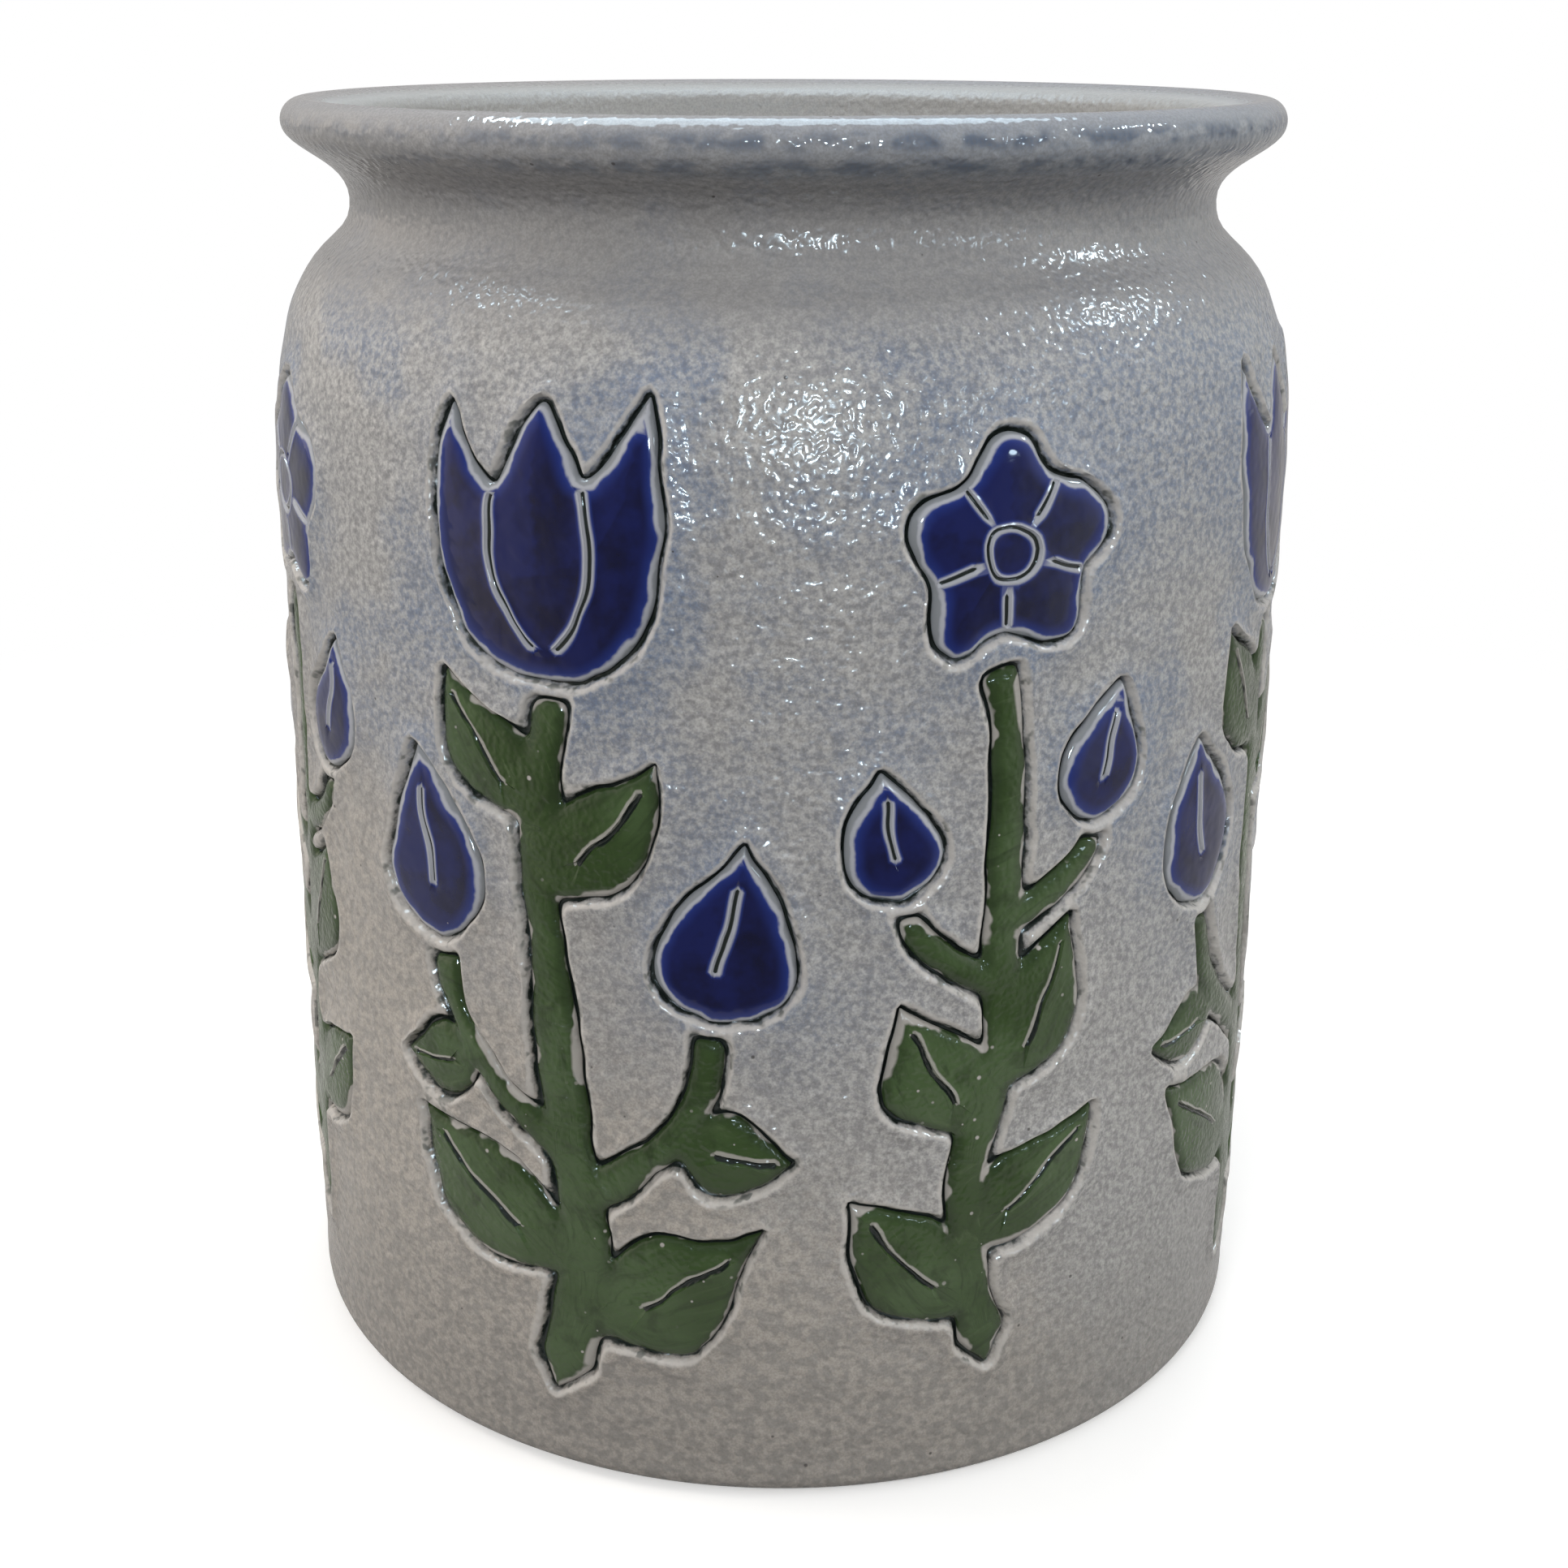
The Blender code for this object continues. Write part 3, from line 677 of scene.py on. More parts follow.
def quarter_of_wall():
    """A quarter of the wall, flat: rows carried along every outline, and a lattice between them."""
    quarter = decor_fields(0)
    around = quarter + decor_fields(-PITCH) + decor_fields(PITCH)
    ends = [np.vstack(field.outlines) for field in around]
    boxes = [(end.min(0) - REACH, end.max(0) + REACH) for end in ends]

    def depth(points):
        least, most = points.min(0), points.max(0)
        found = [np.full(len(points), REACH)]
        for field, (start, end) in zip(around, boxes):
            if (most > start).all() and (least < end).all():
                found.append(field.depth(points))
        return np.min(found, axis=0)

    low, high = np.array([SEAM, DECOR_LOW]), np.array([SEAM + PITCH, DECOR_HIGH])
    rows, steps = stacked([field.rows(WALL_ROWS, depth) for field in quarter])
    clear = ((rows > low + ROW_CLEAR) & (rows < high - ROW_CLEAR)).all(1)
    number = np.cumsum(clear) - 1
    steps = number[steps[clear[steps].all(1)]]
    ground = lattice(low + GRID_CLEAR, high - GRID_CLEAR, WALL_GRID)
    ground = ground[depth(ground) > WALL_GRID_FROM]
    bed = lattice(low, high, BED_GRID)
    bed = bed[depth(bed) < BED_GRID_FROM]
    side = np.linspace(low[1], high[1], EDGE_STEPS)
    level = np.linspace(low[0], high[0], TURN_STEPS // PAIRS + 1)[1:-1]
    edges = [np.c_[np.full_like(side, x), side] for x in (low[0], high[0])]
    edges += [np.c_[level, np.full_like(level, y)] for y in (low[1], high[1])]
    flat, faces = triangles(np.vstack([rows[clear], ground, bed, *edges]), steps)
    blue = [outline for field in around if not field.clear_of for outline in field.outlines]
    haze = np.exp(-np.maximum(signed_distance(flat, blue, HAZE_REACH), 0) / HAZE_FADE)
    here = depth(flat)
    return flat, faces, here, haze, steepest(flat, depth, here) @ UPPER_LEFT


def make_crock(material):
    """The pot: turned rings for its inside, lip and foot, and four quarters of decorated wall between."""
    flat, faces, depth, haze, facing = quarter_of_wall()
    parts = [turned_rings(inside_and_lip()), turned_rings(foot())]
    plain = np.zeros(sum(len(points) for points, _ in parts))
    depths = [plain + FAR]
    for quarter in range(PAIRS):
        place = flat + (quarter * PITCH, 0)
        depths.append(np.where(depth < REACH, depth + waves(5, *place.T, *OUTLINE_WAVES), FAR))
        pressure = 1 + waves(8, *place.T, *PRESSURE_WAVES)
        height = relief(GROOVE_RELIEF, depths[-1]) * np.where(depth > RIDGE_FROM, pressure, 1)
        parts.append((on_wall(drawn_by_hand(place), height), faces))
    points, faces = stacked(parts)
    up = points[:, 2]
    outer = wall_radius(up)
    outer[up > HEIGHT - NECK_DROP / 2] = LIP_RADIUS - LIP_WIDTH / 2
    inner = eased(outer - np.hypot(points[:, 0], points[:, 1]), *INNER_FROM)
    below_neck = 1 - eased(up, HEIGHT - 2 * NECK_DROP, HEIGHT - NECK_DROP)
    ridges = FINGER_RIDGE + INNER_RIDGE * inner * below_neck
    attributes = {
        "depth": np.concatenate(depths),
        "haze": np.concatenate([plain, np.tile(haze, PAIRS)]),
        "facing": np.concatenate([plain, np.tile(facing, PAIRS)]),
        "inner": inner,
    }
    add_piece("stoneware_crock", thrown(points, ridges), faces, material, "crock",
              "crock_body", attributes)


def field_sheet(field):
    """A field's surface, flat: rows along its outlines and its incised lines, and a lattice between."""
    rows, steps = field.rows(FIELD_ROWS, field.depth)
    cuts = [line + offset * across_line(line, closed=False) for line in field.lines for offset in VEIN_ROWS]
    cuts = np.vstack(cuts)
    cuts = cuts[field.depth(cuts) < VEIN_FROM]
    ends = np.vstack(field.outlines)
    ground = lattice(ends.min(0), ends.max(0), FIELD_GRID)
    ground = ground[field.depth(ground) < FIELD_GRID_FROM]
    ground = ground[line_distance(ground, field.lines)[0] > VEIN_CLEAR]
    flat, faces = triangles(np.vstack([rows, cuts, ground]), steps)
    faces = faces[field.depth(flat[faces].mean(1)) < FIELD_ROWS[0] - 0.01]
    used, faces = np.unique(faces, return_inverse=True)
    return flat[used], faces.reshape(-1, 3)


def film_faces(faces, count):
    """A closed film: the sheet's faces, the same turned over beneath, and a rim along the free edges."""
    edges = np.vstack([faces[:, (0, 1)], faces[:, (1, 2)], faces[:, (2, 0)]])
    free = edges[~np.isin(edges @ (count, 1), edges[:, ::-1] @ (count, 1))]
    a, b = free.T
    rim = np.vstack([np.c_[b, a, a + count], np.c_[b, a + count, b + count]])
    return np.vstack([faces, faces[:, ::-1] + count, rim])


def make_fields(name, field, first, material):
    """The same field at its places round the wall, each a film that lies in its own incised outline."""
    flat, faces = field_sheet(field)
    depth = field.depth(flat)
    vein, side = line_distance(flat, field.lines)
    height = relief(FIELD_RELIEF, depth) + relief(VEIN_RELIEF, vein) * eased(-depth, *VEIN_FADE)
    film = film_faces(faces, len(flat))
    facing = steepest(flat, field.depth, depth) @ UPPER_LEFT
    columns = {"depth": depth, "vein": vein, "side": vein * side, "facing": facing}
    attributes = {key: np.tile(values, 2) for key, values in columns.items()}
    for i in range(PAIRS):
        place = drawn_by_hand(flat + (first + i * PITCH, DECOR_FOOT))
        points = np.vstack([on_wall(place, height), on_wall(place, np.full(len(flat), FIELD_BED))])
        add_piece(f"{name}_field_{i + 1}", thrown(points), film, material, "crock", f"{name}_{i + 1}",
                  attributes)


def make_weight(name, side, material):
    """A half disc with a finger hole. Rays from the hole's centre reach the round or the straight side,
    whichever is nearer, blended where they meet; a closed section runs along each ray from hole to rim."""
    radius, split = WEIGHT_HIGH.x, WEIGHT_LOW.x
    low, high = WEIGHT_LOW.z, WEIGHT_HIGH.z
    centre = 4 * radius / (3 * math.pi)
    angle = np.linspace(0, 2 * np.pi, WEIGHT_STEPS + 1)[:-1]
    reach_round = -centre * np.cos(angle) + np.sqrt(radius**2 - (centre * np.sin(angle)) ** 2)
    least = 0.05
    reach_flat = np.where(np.cos(angle) < -least, (centre - split) / np.maximum(-np.cos(angle), least), 1e3)
    blend = 0.9
    rim = -blend * np.log(np.exp(-reach_round / blend) + np.exp(-reach_flat / blend))
    corner = np.linspace(0, np.pi / 2, 6)
    s, c = 1 - np.sin(corner), 1 - np.cos(corner)
    out, hole = WEIGHT_EDGE, FINGER_HOLE_EASE
    flat = np.linspace(0.93, 0.07, 12)
    between = hole * (1 - flat) - out * flat
    # Each run of the section: share of the way to the rim, what is added to it, and height
    runs = ((1, -out * s, low + out * c), (1, -out * c, high - out * s), (flat, between, high),
            (0, hole * s, high - hole * c), (0, hole * c, low + hole * s), (flat[::-1], between[::-1], low))
    share, added, up = np.hstack([np.broadcast_arrays(*run) for run in runs])[:, :, None]
    reach = FINGER_HOLE_RADIUS + share * (rim - FINGER_HOLE_RADIUS) + added
    # The hand leaves its sides and its upper face a little uneven
    reach = reach + (0.12 * np.sin(3 * angle + up) + 0.08 * np.sin(7 * angle - 2 * up))
    x, y = centre + reach * np.cos(angle), reach * np.sin(angle)
    z = up + 0.1 * np.sin(x / 9) * np.cos(y / 11) * (up > (low + high) / 2)
    points = np.stack([side * x, side * y, z], -1).reshape(-1, 3)
    add_piece(f"buff_stone_{name}", points, grid_faces(len(up), len(angle), closed=True), material,
              f"{name}_weight", f"weight_stone_{name}")


# Finishes


class Shading:
    """A shader tree with short ways to add what the finishes use. Lengths are in millimetres."""

    def __init__(self, tree):
        self.tree = tree
        self.spot = None

    def put(self, socket, value):
        """Links a socket to another, or gives it a plain value."""
        if isinstance(value, bpy.types.NodeSocket):
            self.tree.links.new(value, socket)
        elif socket.type == "RGBA":
            socket.default_value = (*value, 1)
        else:
            socket.default_value = value

    def node(self, kind, inputs=None, **settings):
        """The outputs of a new node with these settings and inputs."""
        made = self.tree.nodes.new("ShaderNode" + kind)
        for name, value in settings.items():
            setattr(made, name, value)
        for name, value in (inputs or {}).items():
            self.put(made.inputs[name], value)
        return made.outputs

    def place(self):
        """The point's place on the object."""
        if self.spot is None:
            coordinates = self.node("TexCoord")["Object"]
            self.spot = self.node("VectorMath", {0: coordinates, "Scale": 1 / MM}, operation="SCALE")[0]
        return self.spot

    def parts(self, vector):
        return self.node("SeparateXYZ", {"Vector": vector})

    def joined(self, **parts):
        return self.node("CombineXYZ", parts)[0]

    def vector(self, operation, first, second):
        return self.node("VectorMath", {0: first, 1: second}, operation=operation)[0]

    def length(self, vector):
        return self.node("VectorMath", {0: vector}, operation="LENGTH")["Value"]

    def attribute(self, name):
        return self.node("Attribute", attribute_name=name)["Fac"]

    def noise(self, size, detail=2.0, roughness=0.5, distortion=0.0, finer=1.0, place=None):
        """Noise with lumps of a size, a number or a socket, that is made finer by a factor."""
        linked_size = isinstance(size, bpy.types.NodeSocket)
        scale = self.math("DIVIDE", finer, size) if linked_size else finer / size
        place = place or self.place()
        inputs = {"Vector": place, "Scale": scale, "Detail": detail, "Roughness": roughness}
        return self.node("TexNoise", {**inputs, "Distortion": distortion})["Fac"]

    def math(self, operation, first, second=0.0):
        return self.node("Math", {0: first, 1: second}, operation=operation)[0]

    def plus(self, first, second):
        return self.math("ADD", first, second)

    def less(self, first, second):
        return self.math("SUBTRACT", first, second)

    def times(self, first, second):
        return self.math("MULTIPLY", first, second)

    def most(self, first, second):
        return self.math("MAXIMUM", first, second)

    def span(self, value, low, high, to_low=0.0, to_high=1.0):
        """A smooth step of a value from one span to another."""
        inputs = {"Value": value, "From Min": low, "From Max": high, "To Min": to_low, "To Max": to_high}
        return self.node("MapRange", inputs, interpolation_type="SMOOTHSTEP")[0]

    def mix(self, share, first, second):
        return self.node("Mix", {0: share, 6: first, 7: second}, data_type="RGBA")[2]

    def group(self, group, **inputs):
        given = {name.capitalize(): value for name, value in inputs.items()}
        return self.node("Group", given, node_tree=group)


class Finish(Shading):
    """A material whose colour is painted on in layers."""

    def __init__(self, name):
        self.material = bpy.data.materials.new(name)
        self.material.use_nodes = True
        super().__init__(self.material.node_tree)
        self.colour = None

    def paint(self, colour, share, strength=1):
        """A layer that covers a share of what lies under it, times a strength."""
        if strength != 1:
            share = self.times(share, strength)
        self.colour = self.mix(share, self.colour, colour)

    def done(self, roughness, height, depth):
        """The material with its colour, its roughness and a height of 0 to 1 that stands for a depth."""
        shader = self.tree.nodes["Principled BSDF"].inputs
        bump = {"Height": height, "Distance": depth * MM, "Strength": 1.0}
        self.put(shader["Base Color"], self.colour)
        self.put(shader["Roughness"], roughness)
        self.put(shader["Normal"], self.node("Bump", bump)[0])
        return self.material


def new_group(name, inputs, outputs):
    """An empty node group with number sockets, and its Shading."""
    group = bpy.data.node_groups.new(name, "ShaderNodeTree")
    for way, sockets in (("INPUT", inputs), ("OUTPUT", outputs)):
        for socket in sockets:
            group.interface.new_socket(socket, in_out=way, socket_type="NodeSocketFloat")
    given, out = group.nodes.new("NodeGroupInput"), group.nodes.new("NodeGroupOutput")
    return group, Shading(group), given.outputs, out.inputs


def orange_peel_group():
    """The skin of salt glaze: curled beads of one size with shorter ripples and a fine grain on them. Beads
    is 1 on a bead and 0 between, Grains the same for the grain, and Height is the relief."""
    group, s, given, out = new_group("orange_peel", ("Bead", "Grain"), ("Beads", "Grains", "Height"))
    curls = s.noise(given["Bead"], 0)
    ripple = s.noise(given["Bead"], 0, finer=1.5)
    flecks = s.noise(given["Bead"], 3, 0.6, finer=1.35)
    s.put(out["Beads"], s.span(flecks, 0.32, 0.68))
    s.put(out["Grains"], s.span(s.noise(given["Grain"], 1), 0.3, 0.7))
    s.put(out["Height"], s.times(s.plus(s.span(curls, 0.25, 0.75), s.span(ripple, 0.25, 0.75)), 0.5))
    return group


def pin_specks_group():
    """Small round specks: the middles of a few of the cells of a Voronoi pattern."""
    group, s, given, out = new_group("pin_specks", ("Spacing", "Radius", "Share"), ("Specks",))
    scale = s.math("DIVIDE", 1.0, given["Spacing"])
    cells = s.node("TexVoronoi", {"Vector": s.place(), "Scale": scale})
    chance = s.node("SeparateColor", {"Color": cells["Color"]})
    picked = s.math("LESS_THAN", chance[0], given["Share"])
    size = s.times(s.times(given["Radius"], scale), s.plus(0.4, chance[1]))
    near = s.less(1.0, s.math("DIVIDE", cells["Distance"], size))
    s.put(out["Specks"], s.times(picked, s.span(near, 0.0, 0.5)))
    return group


# Heights where the crock's glaze and its painted shade change, heights of two rows of blotches below the
# top of the lip, and the bounds of the wiped underside
BLUE_RISE = (75, 145)
WINDWARD_RISE = (118, 142)
FOOT_SHADE_FALL = (45, 0)
TURNING_RISE = (148, 160)
NECK_RISE = (160, 168)
LIP_RISE = (177.5, 180)
LINING_RISE = (178, 184)
CROWN_RISE = (HEIGHT - 2.5, HEIGHT - 0.8)
LIP_DRIFTS = (2.7, 5.7)
WIPED_RADIUS = (74, 72.5)
WIPED_HEIGHT = (2.2, 1.9)
# The dark line in an incised groove: partly its own dark tint and partly painted shade
CUT = (0.013, 0.019, 0.017)
BARE_RIM = (0.46, 0.44, 0.42)


def salt_glaze(peel, specks):
    """Warm grey salt glaze: pale beads on a bluer ground, blue drift near the cobalt, iron specks, and along
    each outline a dark cut, partly painted shade and wider on the side towards the upper left as painted
    shadow, with a pale ridge outside it that is partly painted highlight. The neck is smoother and darker,
    partly painted shade under the lip, and painted shade darkens the wall towards the foot. Low on the left
    it took little salt and is plain, and its underside is wiped bare."""
    s = Finish("salt_glaze")
    x, y, up = s.parts(s.place())
    inner = s.attribute("inner")
    skin = s.group(peel, bead=1.3, grain=0.32)
    patches = s.noise(22, 3, 0.55)
    leeward = s.plus(s.times(x, 0.8), s.plus(up, s.times(patches, 40)))
    salted = s.span(leeward, 30, 110, 0.15, 1)
    drift = s.times(s.attribute("haze"), s.span(patches, 0.38, 0.6, 0.25, 0.95))
    windward = s.times(s.span(x, -15, 55, 0, 0.75), s.span(up, *WINDWARD_RISE))
    blue = s.plus(s.times(s.span(patches, 0.45, 0.62), s.span(up, *BLUE_RISE)), drift)
    blue = s.times(s.math("MINIMUM", s.plus(blue, windward), 1), salted)
    ground = s.mix(blue, (0.285, 0.285, 0.295), (0.125, 0.175, 0.29))
    bead = s.mix(s.times(blue, 0.3), (0.565, 0.565, 0.56), (0.49, 0.515, 0.55))
    s.colour = s.mix(skin["Beads"], ground, bead)
    s.paint((0.22, 0.28, 0.38), blue, 0.2)
    s.paint((0.18, 0.24, 0.36), drift, 0.35)
    lumps = s.span(s.noise(1.5, 1), 0.38, 0.62)
    plain = s.mix(lumps, (0.345, 0.322, 0.29), (0.53, 0.48, 0.42))
    s.paint(plain, s.span(salted, 0.95, 0.25, 0, 0.8))
    # Painted shade: the wall darker and warmer towards the foot
    foot_painted_shade = s.mix(lumps, (0.165, 0.155, 0.145), (0.255, 0.238, 0.222))
    s.paint(foot_painted_shade, s.span(up, *FOOT_SHADE_FALL, 0, 0.5))
    lines = s.noise(2.4, place=s.joined(Z=up))
    # The neck's glaze is smoother, with turning lines, and darker: partly its own tone and partly painted
    # shade under the lip
    neck = s.mix(s.span(lines, 0.35, 0.65), (0.28, 0.28, 0.29), (0.23, 0.23, 0.24))
    s.paint(neck, s.span(s.plus(up, s.times(patches, 6)), *NECK_RISE, 0, 0.75))
    lip = s.mix(s.span(x, -60, 45), (0.37, 0.37, 0.375), (0.32, 0.355, 0.405))
    s.paint(lip, s.span(up, *LIP_RISE, 0, 0.75))
    flattened = s.vector("MULTIPLY", s.place(), (1, 1, 1.6))
    blotches = s.span(s.noise(3.2, place=flattened), 0.34, 0.64)
    blotches = s.times(blotches, s.span(x, -80, 50, 0.35, 0.95))
    for below_top in LIP_DRIFTS:
        away = s.math("ABSOLUTE", s.less(up, HEIGHT - below_top))
        s.paint((0.10, 0.135, 0.20), s.times(s.span(away, 1.9, 0.1), blotches))
    lining = s.mix(s.span(up, *LINING_RISE), (0.335, 0.33, 0.315), (0.37, 0.365, 0.35))
    s.paint(lining, inner, 0.85)
    s.paint((0.18, 0.175, 0.18), s.span(skin["Grains"], 0, 1, 0, 0.3))
    from_axis = s.length(s.joined(X=x, Y=y))
    wiped = s.times(s.span(from_axis, *WIPED_RADIUS), s.span(up, *WIPED_HEIGHT))
    s.paint((0.44, 0.38, 0.31), wiped)
    iron = s.group(specks, spacing=4.2, radius=0.26, share=0.4)["Specks"]
    s.paint((0.06, 0.055, 0.055), iron, 0.8)
    ragged = s.plus(s.attribute("depth"), s.span(s.noise(1.6, 3), 0.3, 0.7, -0.12, 0.12))
    ragged = s.plus(ragged, s.span(s.noise(9, 1), 0.35, 0.65, -0.14, 0.12))
    # Facing takes the cut further out on the side of an outline towards the upper left: painted shadow in the
    # groove, which also moves the ridge and the stains outwards there
    ragged = s.less(ragged, s.times(s.attribute("facing"), 0.1))
    # The pale ridge on the raised burr is partly its own paler colour and partly painted highlight
    ridge = s.times(s.span(ragged, 0.3, 0.55), s.span(ragged, 1.3, 0.8))
    s.paint((0.58, 0.56, 0.535), ridge, 0.7)
    stain = s.times(s.span(s.noise(2.2), 0.56, 0.68), s.span(ragged, 1.3, 0.5, 0, 0.7))
    s.paint((0.05, 0.065, 0.06), stain)
    # Dark line in the groove: partly the line's own dark tint and partly painted shade
    s.paint(CUT, s.span(ragged, 0.32, 0.1))
    dull = s.most(s.times(inner, 0.42), s.times(wiped, 0.6))
    roughness = s.plus(s.span(skin["Beads"], 0, 1, 0.1, 0.06), dull)
    turning = s.times(lines, s.most(s.span(up, *TURNING_RISE, 0.15, 0.6), inner))
    beading = s.times(skin["Height"], s.span(up, *CROWN_RISE, 1, 0.4))
    return s.done(roughness, s.plus(beading, turning), 0.14)


def green_glaze(peel, specks):
    """Leaf green glaze: brushed olive of two strengths over a ragged bare rim, with pale pinholes and veins
    cut as dark lines beside a bare edge; the dark lines are partly painted shade in the grooves."""
    s = Finish("green_glaze")
    side = s.attribute("side")
    inward = s.times(s.attribute("depth"), -1)
    brushed = s.vector("ADD", s.vector("MULTIPLY", s.place(), (0.22, 0.22, 0.22)), s.joined(X=side))
    strokes = s.noise(1.7, 4, 0.6, 0.6, place=brushed)
    pools = s.noise(4.5, 3, 0.6)
    s.colour = s.mix(s.span(s.noise(16), 0.36, 0.64), (0.035, 0.068, 0.018), (0.064, 0.110, 0.042))
    s.paint((0.019, 0.036, 0.011), s.span(strokes, 0.5, 0.72, 0, 0.6))
    s.paint((0.090, 0.138, 0.060), s.span(strokes, 0.44, 0.26, 0, 0.55))
    s.paint((0.022, 0.041, 0.012), s.span(pools, 0.52, 0.7, 0, 0.6))
    s.paint((0.019, 0.036, 0.012), s.span(inward, 1.7, 0.5, 0, 0.55))
    clusters = s.span(s.noise(11, 1), 0.48, 0.6)
    pinholes = s.group(specks, spacing=1.9, radius=0.32, share=0.4)["Specks"]
    s.paint(BARE_RIM, s.times(pinholes, clusters))
    turned = s.plus(s.noise(10, 3, 0.6), s.times(s.attribute("facing"), -0.07))
    bare = s.span(turned, 0.44, 0.66, 0, 0.95)
    s.paint(BARE_RIM, s.span(s.less(inward, bare), 0.24, -0.04), 0.85)
    vein = s.plus(s.attribute("vein"), s.span(s.noise(3), 0.3, 0.7, -0.12, 0.12))
    s.paint(BARE_RIM, s.times(s.span(side, 0.05, 0.2), s.span(vein, 0.95, 0.7)), 0.7)
    # Dark line in the veins and along the outline: partly its own dark tint and partly painted shade in the
    # groove
    s.paint(CUT, s.most(s.span(vein, 0.42, 0.24), s.span(inward, 0.28, 0.18)))
    height = s.plus(s.group(peel, bead=1.1, grain=0.3)["Height"], s.times(strokes, 0.5))
    return s.done(s.span(strokes, 0.3, 0.7, 0.1, 0.22), height, 0.08)


def cobalt_glaze(peel, specks):
    """Deep cobalt glaze, glossy, that thins through mid blue to a bare rim at its outline and cut lines.
    It is painted lighter, with wider pale bands, on the side towards the upper left: painted light.
    """
    s = Finish("cobalt_glaze")
    facing, vein = s.attribute("facing"), s.attribute("vein")
    inward = s.times(s.attribute("depth"), -1)
    cloud = s.noise(5, 3, 0.55)
    # Deeper blue where the glaze pools, and lighter towards the upper left, which is painted light
    pooled_and_painted_light = s.less(s.span(cloud, 0.3, 0.7, 0.1, 1), s.span(facing, 0.2, 0.9, 0, 0.5))
    s.colour = s.mix(pooled_and_painted_light, (0.006, 0.011, 0.09), (0.0025, 0.0035, 0.03))
    # The paler bands of the rim reach further in on the side towards the upper left: painted light
    waver_and_painted_light = s.less(s.span(s.noise(5, 3), 0.3, 0.7, 0.3, -0.3), s.times(facing, 0.22))
    from_rim = s.plus(inward, waver_and_painted_light)
    thin = s.math("MINIMUM", from_rim, s.plus(vein, 0.5))
    s.paint((0.012, 0.027, 0.18), s.span(from_rim, 3, 1.1))
    s.paint((0.02, 0.04, 0.22), s.span(thin, 1.7, 1.2))
    s.paint((0.42, 0.44, 0.49), s.span(thin, 1.4, 1))
    s.paint((0.22, 0.24, 0.26), s.span(thin, 0.85, 0.5, 0, 0.85))
    s.paint(BARE_RIM, s.group(specks, spacing=5, radius=0.16, share=0.3)["Specks"], 0.5)
    # Dark line in the veins and along the outline: partly its own dark tint and partly painted shade in the
    # groove
    s.paint(CUT, s.most(s.span(vein, 0.28, 0.16), s.span(inward, 0.28, 0.18)))
    height = s.group(peel, bead=2.2, grain=0.5)["Height"]
    return s.done(s.span(cloud, 0.3, 0.7, 0.06, 0.14), height, 0.03)


def bare_stoneware(specks):
    """Unglazed buff stoneware: clouded and sandy, with dark grog."""
    s = Finish("bare_stoneware")
    cloud = s.noise(14, 4, 0.6)
    sand = s.noise(0.7, 3, 0.65)
    s.colour = s.mix(s.span(cloud, 0.3, 0.7), (0.50, 0.44, 0.36), (0.43, 0.37, 0.30))
    s.paint((0.30, 0.25, 0.20), s.span(sand, 0.5, 0.8, 0, 0.5))
    s.paint((0.62, 0.56, 0.48), s.span(sand, 0.45, 0.2, 0, 0.4))
    grog = s.group(specks, spacing=2.6, radius=0.42, share=0.5)["Specks"]
    s.paint((0.17, 0.115, 0.075), grog, 0.8)
    return s.done(s.span(sand, 0.3, 0.7, 0.6, 0.8), s.plus(sand, s.times(cloud, 0.6)), 0.12)


# Studio, with lengths in metres; a lamp is (name, place, target, size, watts, colour)
MIDDLE = (0, 0, 0.1)
DAYLIGHT, WARM, SKY = (1.0, 0.99, 0.97), (1.0, 0.93, 0.85), (0.68, 0.87, 1.0)
LIGHTS = (
    ("key", (-0.3, -1.05, 0.75), MIDDLE, (0.6, 0.5), 7.6, DAYLIGHT),
    ("fill", (1.1, -0.3, 0.5), MIDDLE, (0.6, 0.5), 4.3, DAYLIGHT),
    ("left_fill", (-1.0, 0.2, 0.9), MIDDLE, (0.5, 0.5), 4.4, WARM),
    ("overhead", (0, 0.1, 1.2), MIDDLE, (0.5, 0.5), 1.4, DAYLIGHT),
    ("back_fill", (0.3, 1.1, 0.6), MIDDLE, (0.6, 0.5), 4.0, DAYLIGHT),
)
WINDOWS = (
    ("skylight", (-0.05, 0.22, 1.19), (0, -0.07, 0.18), (1.3, 0.85), 17.0, SKY),
    ("high_window", (-0.6, 0.22, 1.1), (-0.03, -0.07, 0.18), (0.45, 0.12), 4.5, SKY),
    ("front_window", (0.15, -1.15, 0.34), (0, 0, 0.15), (0.08, 0.08), 6.5, SKY),
    ("right_window", (0.88, -0.77, 0.35), (0.03, -0.06, 0.15), (0.13, 0.13), 0.9, SKY),
    ("side_window", (1.05, 0.05, 0.9), (0.05, 0, 0.16), (0.1, 0.1), 5.0, SKY),
)


def make_camera():
    """The photo's view: in front, a little above the lip, looking down at the wall."""
    camera = bpy.data.cameras.new("camera")
    camera.lens = 49.10
    camera.sensor_width = 36.0
    camera.shift_x = 0.0299
    camera.clip_start = 0.01
    holder = linked("camera", camera)
    place, pitch_down, roll, yaw = (0, -0.32507, 0.19711), 0.3477, 0.0008, 0.0194
    turn = Matrix.Rotation(yaw, 4, "Z") @ Matrix.Rotation(math.pi / 2 - pitch_down, 4, "X")
    holder.matrix_world = Matrix.Translation(place) @ turn @ Matrix.Rotation(roll, 4, "Z")
    bpy.context.scene.camera = holder


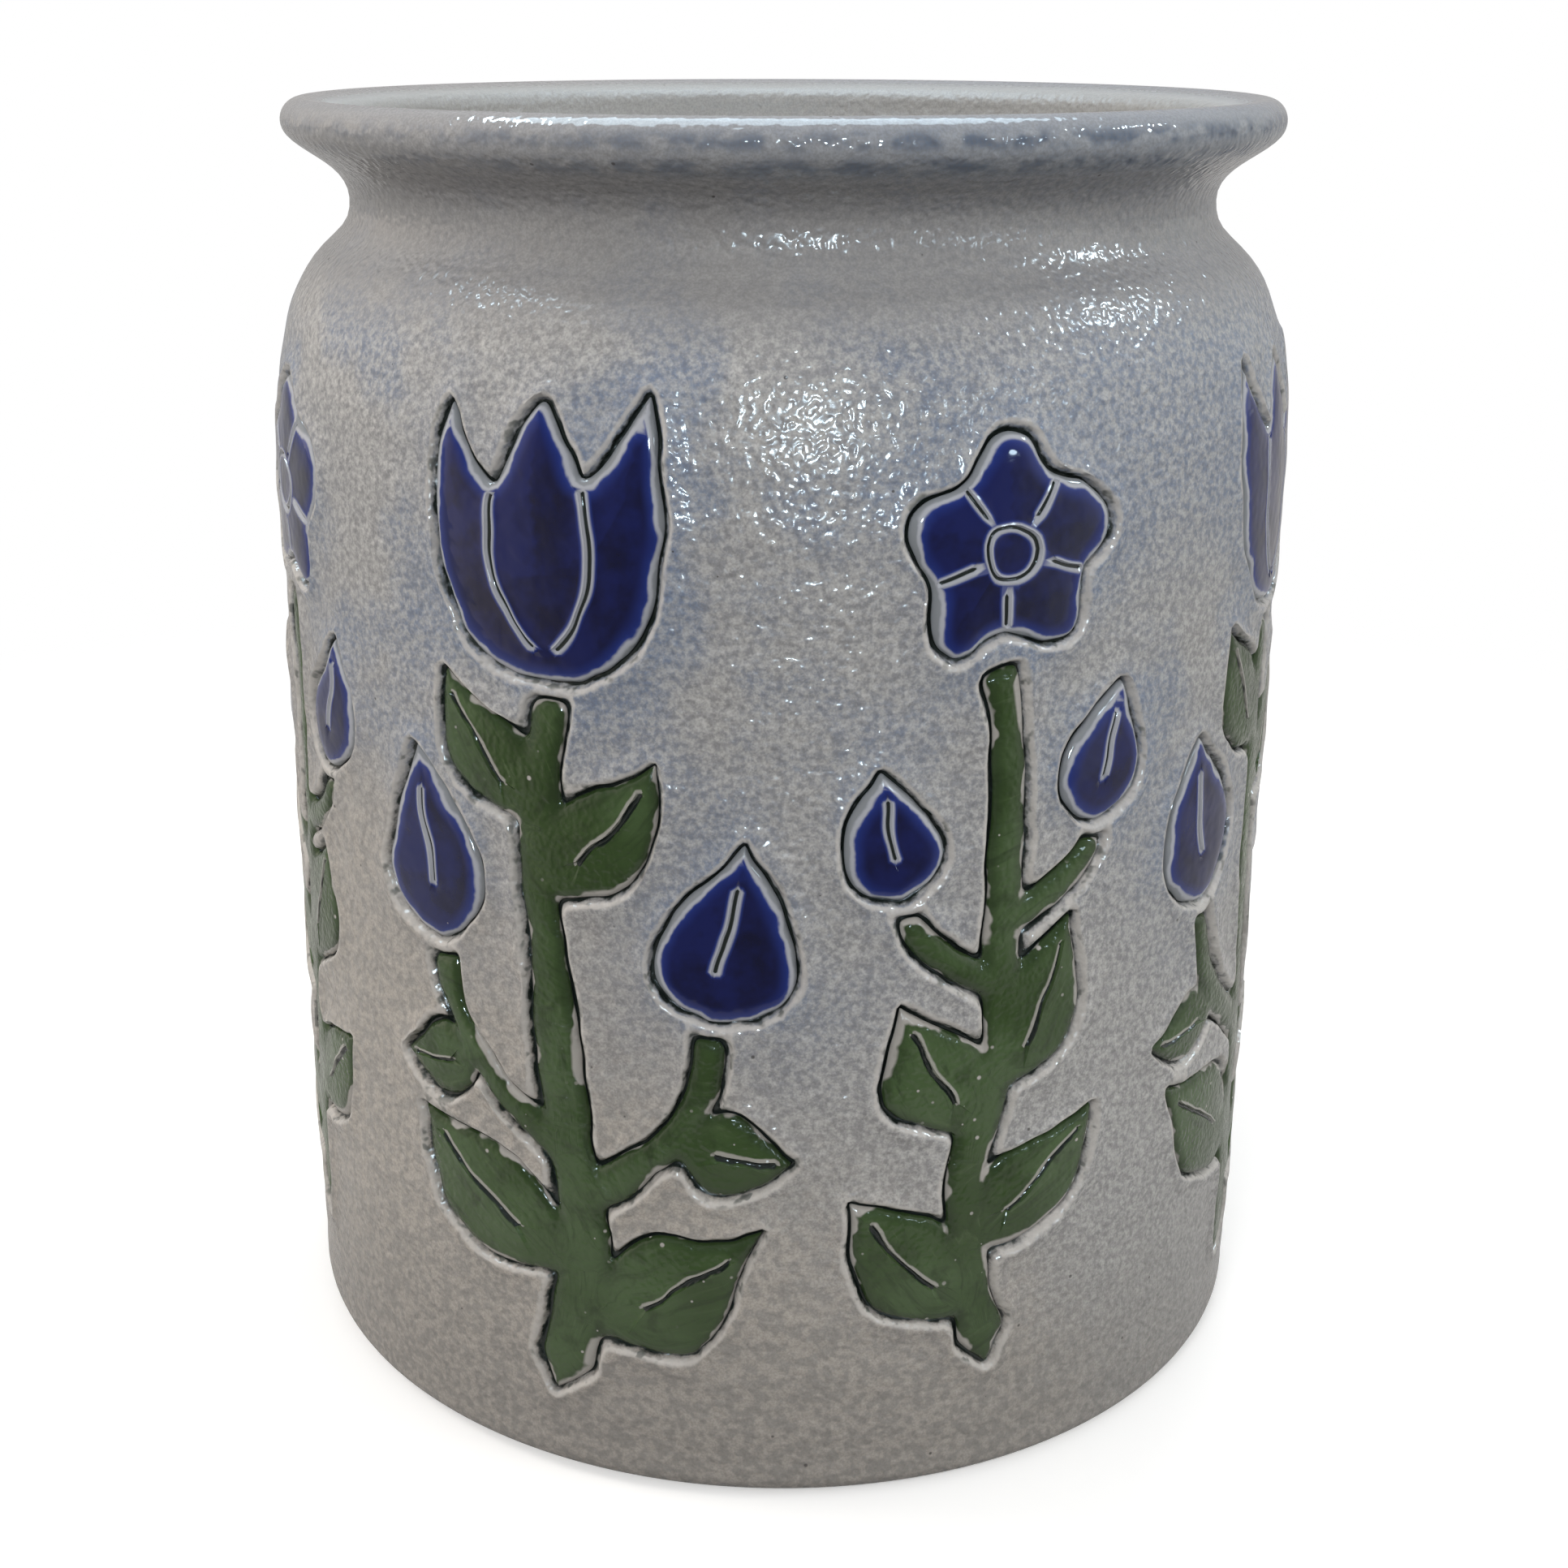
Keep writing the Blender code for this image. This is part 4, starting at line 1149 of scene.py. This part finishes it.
def soft_lamp(name, place, target, size, watts, colour, mirrored):
    """An oval lamp at a place, turned towards a target. It is either a window that glossy things mirror or a
    light that they don't."""
    lamp = bpy.data.lights.new(name, "AREA")
    lamp.shape = "ELLIPSE"
    lamp.size, lamp.size_y = size
    lamp.energy = watts
    lamp.color = colour
    holder = linked(name, lamp)
    holder.location = place
    holder.rotation_euler = (Vector(target) - Vector(place)).to_track_quat("-Z", "Y").to_euler()
    holder.visible_glossy = mirrored
    holder.visible_diffuse = not mirrored


def cleared(holder):
    """The Shading of a world's or a material's tree, emptied."""
    holder.use_nodes = True
    holder.node_tree.nodes.clear()
    return Shading(holder.node_tree)


def seen_directly(s):
    """1 for rays of the camera, and for those that a glossy or clear surface sends on."""
    path = s.node("LightPath")
    return path["Is Camera Ray"], s.most(path["Is Glossy Ray"], path["Is Transmission Ray"])


def make_world():
    """A dim room with paler walls at both sides for light, and a white backdrop for what is seen."""
    world = bpy.data.worlds.new("studio")
    bpy.context.scene.world = world
    s = cleared(world)
    x, y, up = s.parts(s.node("TexCoord")["Generated"])
    room = s.mix(s.span(up, -0.3, 0.7), (0.46, 0.44, 0.42), (0.48, 0.49, 0.51))
    walls = s.mix(s.span(x, -0.3, 0.3), (1.0, 0.92, 0.83), (0.85, 0.86, 0.82))
    room = s.mix(s.span(s.math("ABSOLUTE", x), 0.4, 0.95), room, walls)
    room = s.mix(s.span(y, -0.1, -0.8, 0, 0.75), room, (0.1, 0.1, 0.1))
    camera, glossy = seen_directly(s)
    backdrop = s.times(s.times(glossy, s.span(y, 0.2, 0.7, 0, 0.4)), s.span(up, 0.3, 0.6))
    light = s.node("Background", {"Color": room, "Strength": 1.0})[0]
    white = s.node("Background", {"Color": (1, 1, 1), "Strength": 1.0})[0]
    shown = s.node("MixShader", {0: s.most(camera, backdrop), 1: light, 2: white})[0]
    s.node("OutputWorld", {"Surface": shown})


def make_floor():
    """A pale sheet under the object that starts just in front of it: white where it is seen, with the
    object's shadow on it, and a quiet grey in the light that it throws back."""
    front, back, side, low = -0.17, 6.0, 6.0, -0.0002
    corners = [(-side, front, low), (side, front, low), (side, back, low), (-side, back, low)]
    mesh = bpy.data.meshes.new("floor")
    mesh.from_pydata(corners, [], [(0, 1, 2, 3)])
    floor = linked("floor", mesh)
    material = bpy.data.materials.new("pale_floor")
    s = cleared(material)
    place = s.place()
    # The shadow fades out away from the object and before the sheet's front edge
    faded = s.most(s.span(s.length(place), 180, 420), s.span(s.parts(place)[1], -115, -165))
    lit = s.node("BsdfDiffuse", {"Color": (0.8, 0.8, 0.8)})[0]
    glow = s.node("Emission", {"Color": (1, 1, 1), "Strength": 0.35})[0]
    near = s.node("AddShader", {0: lit, 1: glow})[0]
    far = s.node("Emission", {"Color": (1, 1, 1), "Strength": 1.0})[0]
    sheet = s.node("MixShader", {0: faded, 1: near, 2: far})[0]
    bounce = s.node("BsdfDiffuse", {"Color": (0.18, 0.165, 0.15)})[0]
    camera, glossy = seen_directly(s)
    seen = s.most(camera, s.times(glossy, 0.4))
    shown = s.node("MixShader", {0: seen, 1: bounce, 2: sheet})[0]
    s.node("OutputMaterial", {"Surface": shown})
    mesh.materials.append(material)


peel_group, specks_group = orange_peel_group(), pin_specks_group()
stoneware = salt_glaze(peel_group, specks_group)
green = green_glaze(peel_group, specks_group)
cobalt = cobalt_glaze(peel_group, specks_group)
buff = bare_stoneware(specks_group)

make_crock(stoneware)
make_fields("tulip_sprig_glaze", TULIP_GREEN, FIRST_TULIP, green)
make_fields("blossom_sprig_glaze", BLOSSOM_GREEN, FIRST_BLOSSOM, green)
for flowers, first_place in ((TULIP_BLUE, FIRST_TULIP), (BLOSSOM_BLUE, FIRST_BLOSSOM)):
    for flower_name, flower_field in flowers.items():
        make_fields(flower_name, flower_field, first_place, cobalt)
make_weight("right", 1, buff)
make_weight("left", -1, buff)

make_camera()
for lamp_row in LIGHTS:
    soft_lamp(*lamp_row, mirrored=False)
for lamp_row in WINDOWS:
    soft_lamp(*lamp_row, mirrored=True)
make_world()
make_floor()
bpy.context.scene.view_settings.view_transform = "Standard"
